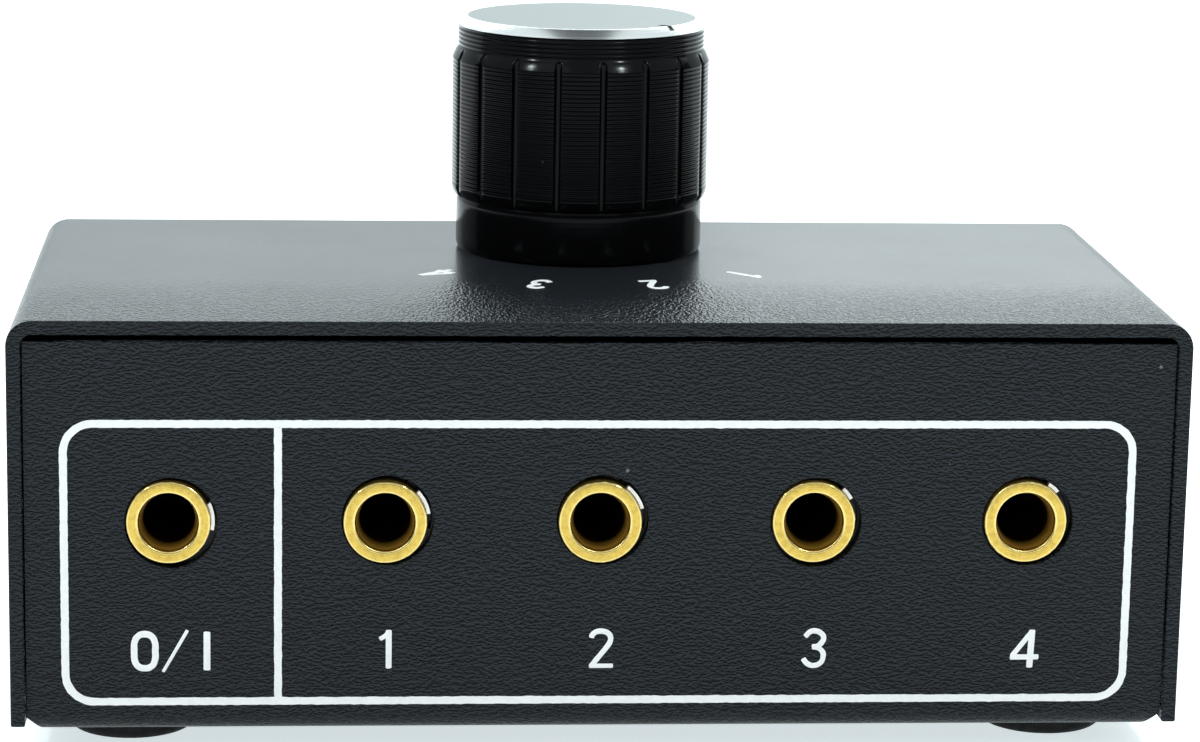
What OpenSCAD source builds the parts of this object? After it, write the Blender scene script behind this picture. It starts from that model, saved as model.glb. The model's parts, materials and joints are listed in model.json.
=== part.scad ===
// Passive selector box for 3.5 mm stereo plugs.
// X runs along the row of sockets, the socket panel faces -Y, and the feet stand on Z = 0.

/* [Cover] */
// Width of the folded cover, over its two sides
cover_width = 82; // [76:0.5:110]
// Depth of the cover, from its socket edge to its user edge
cover_depth = 41; // [40:0.5:60]
// Height of the cover, from the lower edge of its sides to its top face
cover_height = 28.8; // [27:0.2:40]
// Thickness of the cover's sheet
cover_sheet = 1; // [0.8:0.1:1.4]
// Inside radius of the cover's two folds
cover_fold = 0.8; // [0.4:0.1:1.5]

/* [Chassis] */
// Thickness of the chassis sheet
chassis_sheet = 1; // [0.8:0.1:1.4]
// Inside radius of the chassis folds
chassis_fold = 0.6; // [0.4:0.1:1.2]
// How far the chassis hangs below the cover's lower edges
chassis_drop = 0.5; // [0.2:0.1:1]
// How far each panel stands back from the cover's open edge
panel_set_back = 0.3; // [0.1:0.1:1]
// Gap between a panel's top edge and the cover
panel_top_gap = 0.5; // [0.2:0.1:1]
// Gap between the chassis and the cover's sides
panel_side_gap = 0.1; // [0.1:0.05:0.5]
// Depth of the flange at each side of the user's panel
flange_depth = 3; // [2:0.5:4]
// Size of the cut across a panel's lower corners
panel_corner = 1.1; // [0.6:0.1:1.6]
// How far a corner cut reaches in from the panel's face
corner_reach = 4; // [2:0.5:5]
// Width of a side tab that takes a cover screw
tab_width = 9; // [7:0.5:12]
// Height of a side tab over the underside of the chassis
tab_height = 9; // [8:0.5:9.5]
// Distance from a tab's middle to the nearer panel
tab_inset = 10.2; // [9:0.1:12]
// Width of the relief slot at each side of a tab
tab_relief = 0.8; // [0.4:0.1:1.5]

/* [Feet] */
// Radius of a rubber foot
foot_radius = 4.5; // [3.5:0.25:5]
// Height of a rubber foot
foot_height = 2; // [1.5:0.25:4]
// Rounding of a foot's lower edge
foot_edge = 0.5; // [0.2:0.1:0.9]
// Distance from a foot's middle to the side of the chassis
foot_side_inset = 6.9; // [6.8:0.1:12]
// Distance from a foot's middle to the nearer panel
foot_panel_inset = 9.2; // [7:0.1:12]

/* [Cover screws] */
// Radius of a cover screw's shank
cover_screw_radius = 1.5; // [1.2:0.1:1.5]
// Radius of its countersunk head
cover_screw_head = 2.4; // [2:0.1:2.5]
// Length of a cover screw, with its head
cover_screw_length = 5; // [4:0.5:6]
// Height of the cover screws over the cover's lower edge
cover_screw_rise = 5; // [4:0.5:5.5]
// Width of a screw's cross slot
cross_width = 0.5; // [0.3:0.1:0.7]
// Depth of a screw's cross slot
cross_depth = 0.6; // [0.3:0.1:0.8]

/* [Board] */
// Thickness of the circuit board
board_thick = 1.6; // [1:0.2:2]
// Gap between the board's edges and the chassis
board_gap = 0.6; // [0.3:0.1:1]
// Width of a hexagonal standoff, across its flats
standoff_across = 5.5; // [5:0.5:7]
// Radius of the standoff's spigot in the chassis floor
spigot_radius = 2.1; // [1.8:0.1:2.4]
// Distance from a standoff to the side of the chassis
standoff_inset = 13.8; // [12:0.1:18]
// Distance from a standoff to the board's user edge, or to the socket housings
standoff_margin = 4; // [3.5:0.25:5]
// Radius of a board screw's shank
board_screw_radius = 1.5; // [1:0.1:1.6]
// Radius of a board screw's round head
board_screw_head = 2.75; // [2.4:0.05:3]
// Height of a board screw's head
board_screw_crown = 1.8; // [1.2:0.1:2.2]
// Length of a board screw under its head
board_screw_length = 6; // [4:0.5:7]

/* [Sockets] */
// Distance from the panel hole of the first and the last socket to the cover's sides
socket_margin = 11.15; // [9:0.05:13]
// Height of the socket axes over the cover's lower edge
socket_height = 14.65; // [13:0.05:16]
// Height of the socket axes over the board
socket_rise = 3.6; // [3.2:0.1:4]
// How far the sockets stand off the centres of the panel holes
socket_shift = -0.18; // [-0.2:0.01:0]
// Radius of the bore that takes the plug
plug_radius = 1.8; // [1.75:0.05:1.9]
// How far a plug reaches in from the bush's face
plug_reach = 14; // [13.8:0.1:14.4]
// Outside radius of the brass bush
bush_radius = 2.9; // [2.6:0.1:3.1]
// Length of the bush
bush_length = 5; // [4:0.25:5]
// Radius of the bush's mouth
mouth_radius = 2.1; // [2:0.05:2.3]
// Depth of the taper from the mouth to the plug bore
mouth_depth = 1.4; // [0.6:0.1:1.8]
// Bevel of the bush's outer front edge
bush_edge = 0.15; // [0.05:0.05:0.3]
// How far the bush stands out of the panel
bush_proud = 0.3; // [0:0.1:0.3]
// Gap all round between the bush and its panel hole
bush_gap = 0.3; // [0.25:0.05:0.4]
// Width of a socket's moulded housing
housing_width = 11; // [10.5:0.25:12]
// Height of the housing over the board
housing_height = 7.2; // [7:0.1:8]
// Depth of the housing
housing_depth = 13; // [12.8:0.1:13.6]
// Gap between the housing and the panel
housing_gap = 0.3; // [0.1:0.1:0.5]
// Radius of the plug's channel in the housing
channel_radius = 2.2; // [2.1:0.05:2.4]
// Thickness of the contact strips
strip_thick = 0.3; // [0.2:0.05:0.4]
// Height of the contact strips
strip_height = 2.4; // [1.8:0.1:2.6]
// Distance from a socket's axis to the fixed leg of its tip and ring contacts
strip_offset = 4.2; // [4:0.05:4.4]
// How far a contact's tip reaches inside the plug's surface
strip_press = 0.2; // [0.1:0.05:0.3]
// Depth at which the ring contact touches the plug
ring_reach = 8.2; // [8:0.1:8.4]
// Depth at which the tip contact touches the plug
tip_reach = 11.5; // [11.2:0.1:11.6]
// Length of a folded contact to each side of its touching point
strip_bend = 2.3; // [2:0.1:2.4]
// How far the sleeve contact's finger reaches into the housing
sleeve_depth = 2.4; // [2.2:0.1:3]
// How far that finger stands back from the panel's face
sleeve_inset = 0.2; // [0.1:0.1:0.4]
// Angle that the finger's root covers round the bush
sleeve_angle = 64; // [50:1:70]
// Angle of the root's middle over the horizontal
sleeve_middle_angle = 27; // [22:1:30]

/* [Pins] */
// Width of a solder pin
pin_width = 0.9; // [0.6:0.1:1.1]
// Length of a pin below the board
pin_tail = 1.2; // [0.8:0.1:2]
// Gap between a pin's corners and its hole
pin_gap = 0.06; // [0.04:0.01:0.1]

/* [Switch] */
// Distance from the knob's axis to the cover's user edge
knob_inset = 11.2; // [10.5:0.1:12]
// Number of switch positions
positions = 4; // [2:1:4]
// Angle between neighbouring positions
position_angle = 30; // [20:1:30]
// Radius of the shaft
shaft_radius = 3; // [2.5:0.1:3.1]
// Depth of the flat on the shaft
shaft_flat = 1.5; // [0.5:0.1:1.8]
// Radius of the shaft's pilot in the switch base
pilot_radius = 1.4; // [1:0.1:1.6]
// Running clearance round the shaft
running_gap = 0.05; // [0.02:0.01:0.1]
// Wall of the mounting bushing
bushing_wall = 0.5; // [0.4:0.1:1]
// Length of the bushing that shows over its nut
bushing_end = 0.6; // [0.2:0.1:1]
// Gap between the bushing and the cover's hole
bushing_gap = 0.2; // [0.1:0.05:0.4]
// Radius of the switch
switch_radius = 8.3; // [8:0.1:8.8]
// Thickness of the bushing's front plate
plate_thick = 1.2; // [0.8:0.1:1.6]
// Size of the lug that keeps the switch from turning in the cover
lug_size = 1.6; // [1:0.1:2]
// Distance from the axis to that lug
lug_offset = 6.6; // [6:0.1:7]
// Height of the switch can
can_height = 9.8; // [9:0.2:11]
// Wall of the switch can
can_wall = 1.1; // [0.8:0.1:1.3]
// Thickness of the switch base
base_thick = 1.6; // [1:0.2:2]
// Radius of the mounting washer
washer_radius = 5.9; // [5:0.1:6.4]
// Thickness of the mounting washer
washer_thick = 0.4; // [0.3:0.1:0.8]
// Width of the mounting nut, across its flats
nut_across = 10; // [9:0.5:11]
// Height of the mounting nut
nut_thick = 2; // [1.5:0.1:2.5]
// Thickness of the clip that keeps the shaft in
clip_thick = 0.5; // [0.3:0.1:0.7]
// Radius of the clip
clip_radius = 4.6; // [4.2:0.1:5]
// Depth of the clip's groove in the shaft
clip_groove = 0.6; // [0.4:0.1:0.8]

/* [Switch works] */
// Radius of the rotor
rotor_radius = 6.2; // [5.8:0.1:6.4]
// Space between the base and the rotor, for the wipers
wiper_space = 1; // [0.8:0.1:1.4]
// Height of the rotor's stop lug
stop_height = 2.5; // [1.5:0.1:3]
// Angle that the stop lug and each stop rib cover
stop_angle = 20; // [12:1:24]
// Angle left free between the stop lug and a rib at the ends of the turn
stop_play_angle = 1; // [0.5:0.1:2]
// Radius of the detent ball
ball_radius = 0.9; // [0.7:0.05:1]
// Height of the detent ball over the base
ball_rise = 3.2; // [2.6:0.1:3.6]
// Depth of a detent notch
notch_depth = 0.3; // [0.1:0.05:0.4]
// Radius of the detent spring's wire
wire_radius = 0.11; // [0.08:0.01:0.13]
// Turns of the detent spring
spring_turns = 4; // [3:1:5]
// Distance from the axis to the four contact pads of a pole
pad_offset = 5.2; // [4.9:0.1:5.4]
// Length of a contact pad along the radius
pad_long = 1.4; // [1:0.1:1.6]
// Width of a contact pad
pad_wide = 1.2; // [0.8:0.1:1.4]
// Thickness of the pads and of the common tracks
pad_thick = 0.2; // [0.1:0.05:0.3]
// Distance from the axis to the middle of the common tracks
track_offset = 3; // [2.8:0.1:3.2]
// Width of the common tracks
track_wide = 0.9; // [0.8:0.1:1]
// Width of a wiper
wiper_wide = 0.9; // [0.6:0.1:1.2]
// Thickness of a wiper
wiper_thick = 0.2; // [0.15:0.05:0.3]
// Gap drawn between a wiper and the pads
wiper_gap = 0.08; // [0.05:0.01:0.12]

/* [Knob] */
// Height of the knob, with its cap
knob_height = 17.4; // [16:0.2:22]
// Gap between the knob and the cover
knob_gap = 0.2; // [0.2:0.05:1.5]
// Radius over the grip's ridges
grip_radius = 9.7; // [9.6:0.05:10]
// Number of ridges
ridges = 18; // [12:1:24]
// Radius of the round grooves between the ridges
groove_radius = 0.28; // [0.22:0.02:0.4]
// How far the grooves' floors stand out from the band and the skirt's neck
groove_clear = 0.03; // [0.02:0.01:0.08]
// Turn of the grip against the index notch
grip_turn_angle = 1.2; // [-5:0.1:5]
// Height of the bevel at the ridges' upper ends
grip_bevel = 0.9; // [0.4:0.1:1.5]
// Height of the taper at the ridges' lower ends
grip_taper = 0.95; // [0.4:0.05:1.5]
// Height of the smooth skirt
skirt_height = 3.3; // [2.6:0.1:4]
// Radius of the skirt at its widest
skirt_radius = 9.5; // [9.4:0.05:9.6]
// Radius of the skirt's two ends
neck_radius = 9.22; // [9:0.02:9.3]
// Height of the band over the ridges
band_height = 1.35; // [1:0.05:2.5]
// Radius of that band
band_radius = 9.27; // [9.1:0.01:9.3]
// Bevel of the cap's rim
rim_bevel = 0.65; // [0.4:0.05:1]
// Radius of the cap's spigot in the shell
cap_spigot = 8.3; // [8:0.1:8.4]
// Depth of that spigot
cap_depth = 0.9; // [0.5:0.1:1.2]
// Thickness of the shell's web under the cap
crown_thick = 0.9; // [0.6:0.1:1.5]
// Radius of the knob's core
core_radius = 7.9; // [7.7:0.1:8.1]
// Wall of the core and of its shaft boss
core_wall = 1.5; // [1.2:0.1:2]
// Number of ribs in the core
core_ribs = 6; // [3:1:8]
// Width of the index notch
index_width = 0.6; // [0.4:0.1:1]
// Depth of the index notch
index_depth = 0.35; // [0.2:0.05:0.5]
// Length of the index notch, in from the rim
index_length = 2.6; // [1.5:0.1:5]

/* [Hidden] */
$fn = 64;
// How far a cut runs on past the face that it opens
through = 1;
// Gap between pieces that are pressed or screwed together
seat_gap = 0.02;
// Clear space kept round what turns
turn_gap = 0.3;
// Heights of the panel holes over their sockets' axes, as punched
hole_lifts = [-0.1, 0.08, 0.1, -0.1, 0];
// Middle and width of each sleeve finger's tip round its bush, as bent
tip_angles = [6, 26, 34, 39, 50];
tip_spans = [36, 33, 35, 17, 16];
// Lowest and highest angles that the fingers and their tips reach
finger_low = min(sleeve_middle_angle - sleeve_angle / 2, min(tip_angles - tip_spans / 2));
finger_high = max(sleeve_middle_angle + sleeve_angle / 2, max(tip_angles + tip_spans / 2));
// Angle left free at each side of the sleeve contact's finger
sleeve_play_angle = 3;
// Share of the knob core's turn that its ribs take
rib_share = 0.2;
// Sides of the detent spring's wire, and steps in each of its turns
wire_sides = 6;
spring_steps = 12;

socket_names = ["common", "1", "2", "3", "4"];
contact_kinds = ["housing", "bush", "tip_contact", "ring_contact", "sleeve_contact"];

// Levels, from the feet up
chassis_z = foot_height;
floor_z = chassis_z + chassis_sheet;
cover_z = chassis_z + chassis_drop;
cover_top = cover_z + cover_height;
cover_under = cover_top - cover_sheet;
panel_height = cover_under - panel_top_gap - chassis_z;
cover_screw_z = cover_z + cover_screw_rise;
socket_z = cover_z + socket_height;
board_top = socket_z - socket_rise;
board_z = board_top - board_thick;
pin_z = board_z - pin_tail;

// Plan of the box
front_y = -cover_depth / 2;
back_y = cover_depth / 2;
panel_y = front_y + panel_set_back;
chassis_depth = cover_depth - 2 * panel_set_back;
chassis_width = cover_width - 2 * (cover_sheet + panel_side_gap);
fold_radius = chassis_fold + chassis_sheet;
board_width = chassis_width - 2 * (chassis_sheet + board_gap);
board_depth = chassis_depth - 2 * (chassis_sheet + board_gap);
socket_pitch = (cover_width - 2 * socket_margin) / (len(socket_names) - 1);
bush_y = panel_y - bush_proud;
hole_radius = bush_radius + bush_gap;
housing_y = bush_proud + chassis_sheet + housing_gap;
housing_back = bush_y + housing_y + housing_depth;
axis_y = back_y - knob_inset;
standoff_x = chassis_width / 2 - standoff_inset;
standoff_rows = [housing_back + standoff_margin, board_depth / 2 - standoff_margin];
foot_x = chassis_width / 2 - foot_side_inset;
foot_y = chassis_depth / 2 - foot_panel_inset;
tab_y = chassis_depth / 2 - tab_inset;

// Levels of the switch and of the knob
plate_z = cover_under - plate_thick;
can_z = plate_z - can_height;
base_z = can_z - base_thick;
bushing_radius = shaft_radius + running_gap + bushing_wall;
bushing_top = cover_top + washer_thick + nut_thick + bushing_end;
rotor_z = can_z + wiper_space;
rotor_top = plate_z - turn_gap;
stop_z = rotor_top - stop_height;
ball_z = can_z + ball_rise;
clip_z = bushing_top + running_gap;
knob_z = cover_top + knob_gap;
shell_height = knob_height - rim_bevel;
core_top = knob_z + shell_height - cap_depth - crown_thick;
core_z = clip_z + clip_thick + turn_gap;
shaft_top = core_top - turn_gap;

// Plan of the switch, with angles counted from +X
sweep_angle = (positions - 1) * position_angle;
first_angle = -90 + sweep_angle / 2;
can_bore = switch_radius - can_wall;
ball_offset = can_bore - running_gap - ball_radius;
notch_radius = ball_radius + notch_depth;
pocket_floor = shaft_radius + can_wall / 2;
lug_radius = can_bore - turn_gap;
rib_radius = rotor_radius + turn_gap;
stop_turn_angle = stop_angle + stop_play_angle;
poles = [0, 180];
pin_thick = strip_thick;
pin_hole = norm([pin_width, pin_thick]) / 2 + pin_gap;

function socket_x(i) = (i - (len(socket_names) - 1) / 2) * socket_pitch;
function pad_angle(pole, i) = first_angle + pole - i * position_angle;
function track_angle(pole) = first_angle + pole - sweep_angle / 2;

// Pin places of one socket, from its axis and its bush's face
tip_pin = [strip_offset, tip_reach + pin_width];
ring_pin = [-strip_offset, ring_reach + pin_width];
sleeve_pin = [bush_radius + (seat_gap + bush_gap) / 2, housing_y + 1.5 * pin_width];

// Outline of a strip of thickness t that follows the points p, with mitred bends
function unit(v) = v / norm(v);
function left_of(v) = [-v[1], v[0]];
function heading(p, i) = unit(p[min(i + 1, len(p) - 1)] - p[min(i, len(p) - 2)]);
function mitre(p, i) =
    let (before = left_of(heading(p, max(i - 1, 0))))
    let (after = left_of(heading(p, i)))
    let (n = unit(before + after))
    n / (n * after);
function ribbon(p, t) = concat(
    [for (i = [0 : len(p) - 1]) p[i] + mitre(p, i) * t / 2],
    [for (i = [len(p) - 1 : -1 : 0]) p[i] - mitre(p, i) * t / 2]
);

// Places a section drawn in X and Z, and runs it along Y
module along_y(length) {
    translate([0, length / 2, 0]) rotate([90, 0, 0]) linear_extrude(length) children();
}

// Places a section drawn in Y and Z, and runs it along X
module along_x(length) {
    rotate([90, 0, 90]) translate([0, 0, -length / 2]) linear_extrude(length) children();
}

// A rod along Y, from y0 to y1
module rod_y(r, y0, y1) {
    translate([0, y0, 0]) rotate([-90, 0, 0]) cylinder(r = r, h = y1 - y0);
}

// A rectangle that stands on its rounded lower corners
module rounded_foot(w, h, r) {
    translate([-w / 2, r]) square([w, h - r]);
    translate([r - w / 2, 0]) square([w - 2 * r, h]);
    for (side = [-1, 1]) translate([side * (w / 2 - r), r]) circle(r = r);
}

// Section of a sheet folded into a channel with two legs
module channel(w, h, sheet, fold) {
    difference() {
        rounded_foot(w, h, fold + sheet);
        translate([0, sheet]) rounded_foot(w - 2 * sheet, h, fold);
    }
}

// Part of a ring round Z, centred on an angle
module ring_part(inner, outer, height, angle, span) {
    rotate(angle - span / 2) rotate_extrude(angle = span)
        translate([inner, 0]) square([outer - inner, height]);
}

module at_axis(z) {
    translate([0, axis_y, z]) children();
}

module at_socket(i) {
    translate([socket_x(i) + socket_shift, bush_y, socket_z]) children();
}

// The four places of the cover screws, on the side's outer face and looking inwards
module at_cover_screws() {
    for (side = [-1, 1], row = [-1, 1])
        translate([side * cover_width / 2, row * tab_y, cover_screw_z])
            rotate([0, -90 * side, 0]) children();
}

module at_standoffs() {
    for (side = [-1, 1], y = standoff_rows)
        translate([side * standoff_x, y, 0]) children();
}

// A countersunk screw along Z with its head at Z = 0
// Its hole is wider by a gap, and runs on out of the face
module countersunk(gap, run) {
    head = cover_screw_head + gap;
    shank = cover_screw_radius + gap;
    mouth = run > 0 ? [[0, -run], [head, -run]] : [[0, 0]];
    taper = [[head, 0], [shank, head - shank], [shank, cover_screw_length], [0, cover_screw_length]];
    rotate_extrude() polygon(concat(mouth, taper));
}

module cross_slot(reach) {
    for (turn = [0, 90])
        rotate(turn) translate([-reach, -cross_width / 2, -through])
            cube([2 * reach, cross_width, through + cross_depth]);
}

module top_cover() {
    color("#23272b") difference() {
        translate([0, 0, cover_top]) mirror([0, 0, 1]) along_y(cover_depth)
            channel(cover_width, cover_height, cover_sheet, cover_fold);
        at_axis(cover_under - through) {
            cylinder(r = bushing_radius + bushing_gap, h = cover_sheet + 2 * through);
            translate([-lug_offset, 0, 0]) lug(cover_sheet + 2 * through, bushing_gap);
        }
        at_cover_screws() countersunk(seat_gap, through);
    }
}

// The switch's locating lug, grown by a clearance
module lug(height, gap) {
    size = lug_size + 2 * gap;
    translate([-size / 2, -size / 2, 0]) cube([size, size, height]);
}

module chassis() {
    color("#262a2f") difference() {
        union() {
            folded_panels();
            side_tabs();
        }
        for (i = [0 : len(socket_names) - 1])
            translate([socket_x(i), panel_y, socket_z + hole_lifts[i]])
                rod_y(hole_radius, -through, chassis_sheet + through);
        at_cover_screws() cylinder(r = cover_screw_radius + seat_gap, h = cover_screw_length + through);
        at_standoffs() translate([0, 0, chassis_z - through])
            cylinder(r = spigot_radius + seat_gap, h = chassis_sheet + 2 * through);
    }
}

// The two panels and the floor, with cut lower corners and room for the tabs
module folded_panels() {
    difference() {
        union() {
            translate([0, 0, chassis_z]) along_x(chassis_width)
                channel(chassis_depth, panel_height, chassis_sheet, chassis_fold);
            side_flanges();
        }
        for (side = [-1, 1], row = [-1, 1]) {
            corner_cut(side, row);
            tab_room(side, row);
        }
    }
}

// Flanges that close the gaps beside the user's panel from within
module side_flanges() {
    inner = chassis_width / 2 - chassis_sheet;
    for (x = [-chassis_width / 2, inner])
        translate([x, chassis_depth / 2 - flange_depth, chassis_z + fold_radius])
            cube([chassis_sheet, flange_depth, panel_height - fold_radius]);
}

module corner_cut(side, row) {
    size = panel_corner + 2 * through;
    middle = (chassis_depth - corner_reach + through) / 2;
    translate([side * (chassis_width / 2 + through), row * middle, chassis_z - through])
        along_y(corner_reach + through) polygon([[0, 0], [-side * size, 0], [0, size]]);
}

module tab_room(side, row) {
    width = tab_width + 2 * tab_relief;
    translate([side * chassis_width / 2, row * tab_y, chassis_z])
        translate([-fold_radius, -width / 2, -through])
            cube([2 * fold_radius, width, chassis_sheet + 2 * through]);
}

module side_tabs() {
    for (row = [-1, 1])
        translate([0, row * tab_y, chassis_z]) along_y(tab_width)
            channel(chassis_width, tab_height, chassis_sheet, chassis_fold);
}

module cover_screws() {
    color("#1b1d1f") at_cover_screws() difference() {
        countersunk(0, 0);
        cross_slot(cover_screw_radius);
    }
}

module rubber_feet() {
    flat = foot_radius - foot_edge;
    color("#121212") for (side = [-1, 1], row = [-1, 1])
        translate([side * foot_x, row * foot_y, 0]) rotate_extrude() {
            square([flat, foot_height]);
            translate([0, foot_edge]) square([foot_radius, foot_height - foot_edge]);
            translate([flat, foot_edge]) intersection() {
                circle(r = foot_edge);
                translate([0, -foot_edge]) square(foot_edge);
            }
        }
}

// Every pin's place on the board: those of the sockets, then those of the switch
module at_pins() {
    for (i = [0 : len(socket_names) - 1], place = [tip_pin, ring_pin, sleeve_pin])
        at_socket(i) translate([place[0], place[1], -socket_z]) children();
    at_axis(0) at_terminals() children();
}

// The switch's pins, with X along the radius
module at_terminals() {
    for (pole = poles) {
        for (i = [0 : positions - 1])
            rotate(pad_angle(pole, i)) translate([pad_offset, 0, 0]) children();
        rotate(track_angle(pole)) translate([track_offset, 0, 0]) children();
    }
}

module circuit_board() {
    color("#1f5b3b") difference() {
        translate([-board_width / 2, -board_depth / 2, board_z])
            cube([board_width, board_depth, board_thick]);
        translate([0, 0, board_z - through]) {
            at_standoffs() cylinder(r = board_screw_radius + seat_gap, h = board_thick + 2 * through);
            at_pins() cylinder(r = pin_hole, h = board_thick + 2 * through);
        }
    }
}

module board_standoffs() {
    color("#c9a24a") at_standoffs() difference() {
        union() {
            translate([0, 0, floor_z])
                cylinder(r = standoff_across / 2 / cos(30), h = board_z - floor_z, $fn = 6);
            translate([0, 0, chassis_z]) cylinder(r = spigot_radius, h = chassis_sheet);
        }
        translate([0, 0, board_top - board_screw_length - through])
            cylinder(r = board_screw_radius + seat_gap, h = board_screw_length + through);
    }
}

module board_screws() {
    dome = (board_screw_head ^ 2 + board_screw_crown ^ 2) / (2 * board_screw_crown);
    color("#b9bcc0") at_standoffs() translate([0, 0, board_top]) difference() {
        union() {
            rotate_extrude() intersection() {
                translate([0, board_screw_crown - dome]) circle(r = dome);
                square([board_screw_head, board_screw_crown]);
            }
            translate([0, 0, -board_screw_length])
                cylinder(r = board_screw_radius, h = board_screw_length + seat_gap);
        }
        translate([0, 0, board_screw_crown]) mirror([0, 0, 1]) cross_slot(board_screw_radius);
    }
}

// Moulded block with a seat for the bush, a channel for the plug and open slots for the contacts
module socket_housing() {
    color("#17181a") difference() {
        translate([-housing_width / 2, housing_y, -socket_rise])
            cube([housing_width, housing_depth, housing_height]);
        rod_y(bush_radius + seat_gap, 0, bush_length);
        rod_y(channel_radius, bush_length - through, plug_reach);
        contact_slot(tip_reach, 1);
        contact_slot(ring_reach, -1);
        for (pin = [tip_pin, ring_pin])
            translate([pin[0], pin[1], -socket_rise - through])
                cylinder(r = pin_hole, h = socket_rise + through);
        sleeve_room();
    }
}

// Slot for a contact at one side of the channel, open at the top
module contact_slot(reach, side) {
    width = strip_offset + strip_thick;
    length = 2 * strip_bend + 2 * strip_thick;
    translate([side * width / 2, reach, -strip_height / 2 - seat_gap])
        translate([-width / 2, -length / 2, 0]) cube([width, length, housing_height]);
}

// Room for the sleeve contact at the bush's side
module sleeve_room() {
    span = finger_high - finger_low + 2 * sleeve_play_angle;
    middle = (finger_low + finger_high) / 2;
    rotate([90, 0, 0]) translate([0, 0, -housing_y - sleeve_depth - pin_gap])
        ring_part(bush_radius, hole_radius + pin_gap, sleeve_depth + through, middle, span);
    translate([sleeve_pin[0], sleeve_pin[1], -socket_rise - through])
        cylinder(r = pin_hole, h = socket_rise + through);
}

module socket_bush() {
    color("#e3bf57") rotate([-90, 0, 0]) rotate_extrude() polygon([
        [plug_radius, mouth_depth],
        [mouth_radius, 0],
        [bush_radius - bush_edge, 0],
        [bush_radius, bush_edge],
        [bush_radius, bush_length],
        [plug_radius, bush_length]
    ]);
}

// A folded spring strip that leans against the plug, with its pin
module spring_contact(reach, pin, side) {
    touch = plug_radius - strip_press + strip_thick / 2;
    leg = strip_offset;
    path = [
        [leg, strip_bend],
        [leg, -strip_bend],
        [leg - strip_bend / 2, -strip_bend],
        [touch, 0],
        [touch + strip_press, strip_bend / 2]
    ];
    color("#d6d8da") {
        translate([0, reach, -strip_height / 2]) linear_extrude(strip_height)
            polygon(ribbon([for (p = path) [side * p[0], p[1]]], strip_thick));
        translate([pin[0] - pin_thick / 2, pin[1] - pin_width / 2, pin_z - socket_z])
            cube([pin_thick, pin_width, socket_z - pin_z]);
    }
}

// A tinned finger that grips the bush's side and shows its tip in the panel hole, with its pin
module sleeve_contact(i) {
    finger = housing_y + sleeve_depth - bush_proud - sleeve_inset;
    thick = bush_gap - seat_gap;
    inner = bush_radius + seat_gap;
    color("#e6e7e8") {
        rotate([90, 0, 0]) translate([0, 0, -housing_y - sleeve_depth]) {
            ring_part(inner, hole_radius, sleeve_depth, sleeve_middle_angle, sleeve_angle);
            ring_part(inner + seat_gap, hole_radius - seat_gap, finger, tip_angles[i], tip_spans[i]);
        }
        translate([sleeve_pin[0] - thick / 2, sleeve_pin[1] - pin_width / 2, pin_z - socket_z])
            cube([thick, pin_width, socket_z - pin_z]);
    }
}

module socket_piece(i, kind) {
    at_socket(i) {
        if (kind == "housing") socket_housing();
        if (kind == "bush") socket_bush();
        if (kind == "tip_contact") spring_contact(tip_reach, tip_pin, 1);
        if (kind == "ring_contact") spring_contact(ring_reach, ring_pin, -1);
        if (kind == "sleeve_contact") sleeve_contact(i);
    }
}

module switch_bushing() {
    color("#c4c5c2") at_axis(0) difference() {
        union() {
            translate([0, 0, plate_z]) cylinder(r = switch_radius, h = plate_thick);
            translate([0, 0, plate_z]) cylinder(r = bushing_radius, h = bushing_top - plate_z);
            translate([-lug_offset, 0, plate_z]) lug(plate_thick + cover_sheet, 0);
        }
        translate([0, 0, plate_z - through])
            cylinder(r = shaft_radius + running_gap, h = bushing_top - plate_z + 2 * through);
    }
}

// The can, with a detent notch for each position and two stop ribs
module switch_can() {
    color("#2c3036") at_axis(0) {
        difference() {
            translate([0, 0, can_z]) cylinder(r = switch_radius, h = can_height);
            translate([0, 0, can_z - through]) cylinder(r = can_bore, h = can_height + 2 * through);
            for (i = [0 : positions - 1])
                rotate(pad_angle(poles[1], i))
                    translate([can_bore + notch_depth - notch_radius, 0, ball_z - notch_radius])
                        cylinder(r = notch_radius, h = 2 * notch_radius);
        }
        for (end = [first_angle + 90 + stop_turn_angle, first_angle + 90 - sweep_angle - stop_turn_angle])
            translate([0, 0, stop_z])
                ring_part(rib_radius, can_bore + can_wall / 2, plate_z - stop_z, end, stop_angle);
    }
}

module switch_base() {
    color("#7b4d27") at_axis(base_z) difference() {
        cylinder(r = switch_radius, h = base_thick);
        translate([0, 0, -through]) {
            cylinder(r = pilot_radius + running_gap, h = base_thick + 2 * through);
            at_terminals() cylinder(r = pin_hole, h = base_thick + 2 * through);
        }
    }
}

// Pads and common tracks on the base, each with its pin down to the board
module switch_terminals() {
    color("#d3d4d5") at_axis(0) {
        at_terminals() translate([-pin_thick / 2, -pin_width / 2, pin_z])
            cube([pin_thick, pin_width, can_z + pad_thick - pin_z]);
        for (pole = poles) {
            for (i = [0 : positions - 1])
                rotate(pad_angle(pole, i)) translate([pad_offset - pad_long / 2, -pad_wide / 2, can_z])
                    cube([pad_long, pad_wide, pad_thick]);
            translate([0, 0, can_z])
                ring_part(track_offset - track_wide / 2, track_offset + track_wide / 2, pad_thick,
                    track_angle(pole), sweep_angle + position_angle);
        }
    }
}

module switch_washer() {
    color("#bfc0be") at_axis(cover_top) difference() {
        cylinder(r = washer_radius, h = washer_thick);
        translate([0, 0, -through]) cylinder(r = bushing_radius + seat_gap, h = washer_thick + 2 * through);
    }
}

module switch_nut() {
    color("#bcbdbb") at_axis(cover_top + washer_thick) difference() {
        cylinder(r = nut_across / 2 / cos(30), h = nut_thick, $fn = 6);
        translate([0, 0, -through]) cylinder(r = bushing_radius + seat_gap, h = nut_thick + 2 * through);
    }
}

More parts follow.
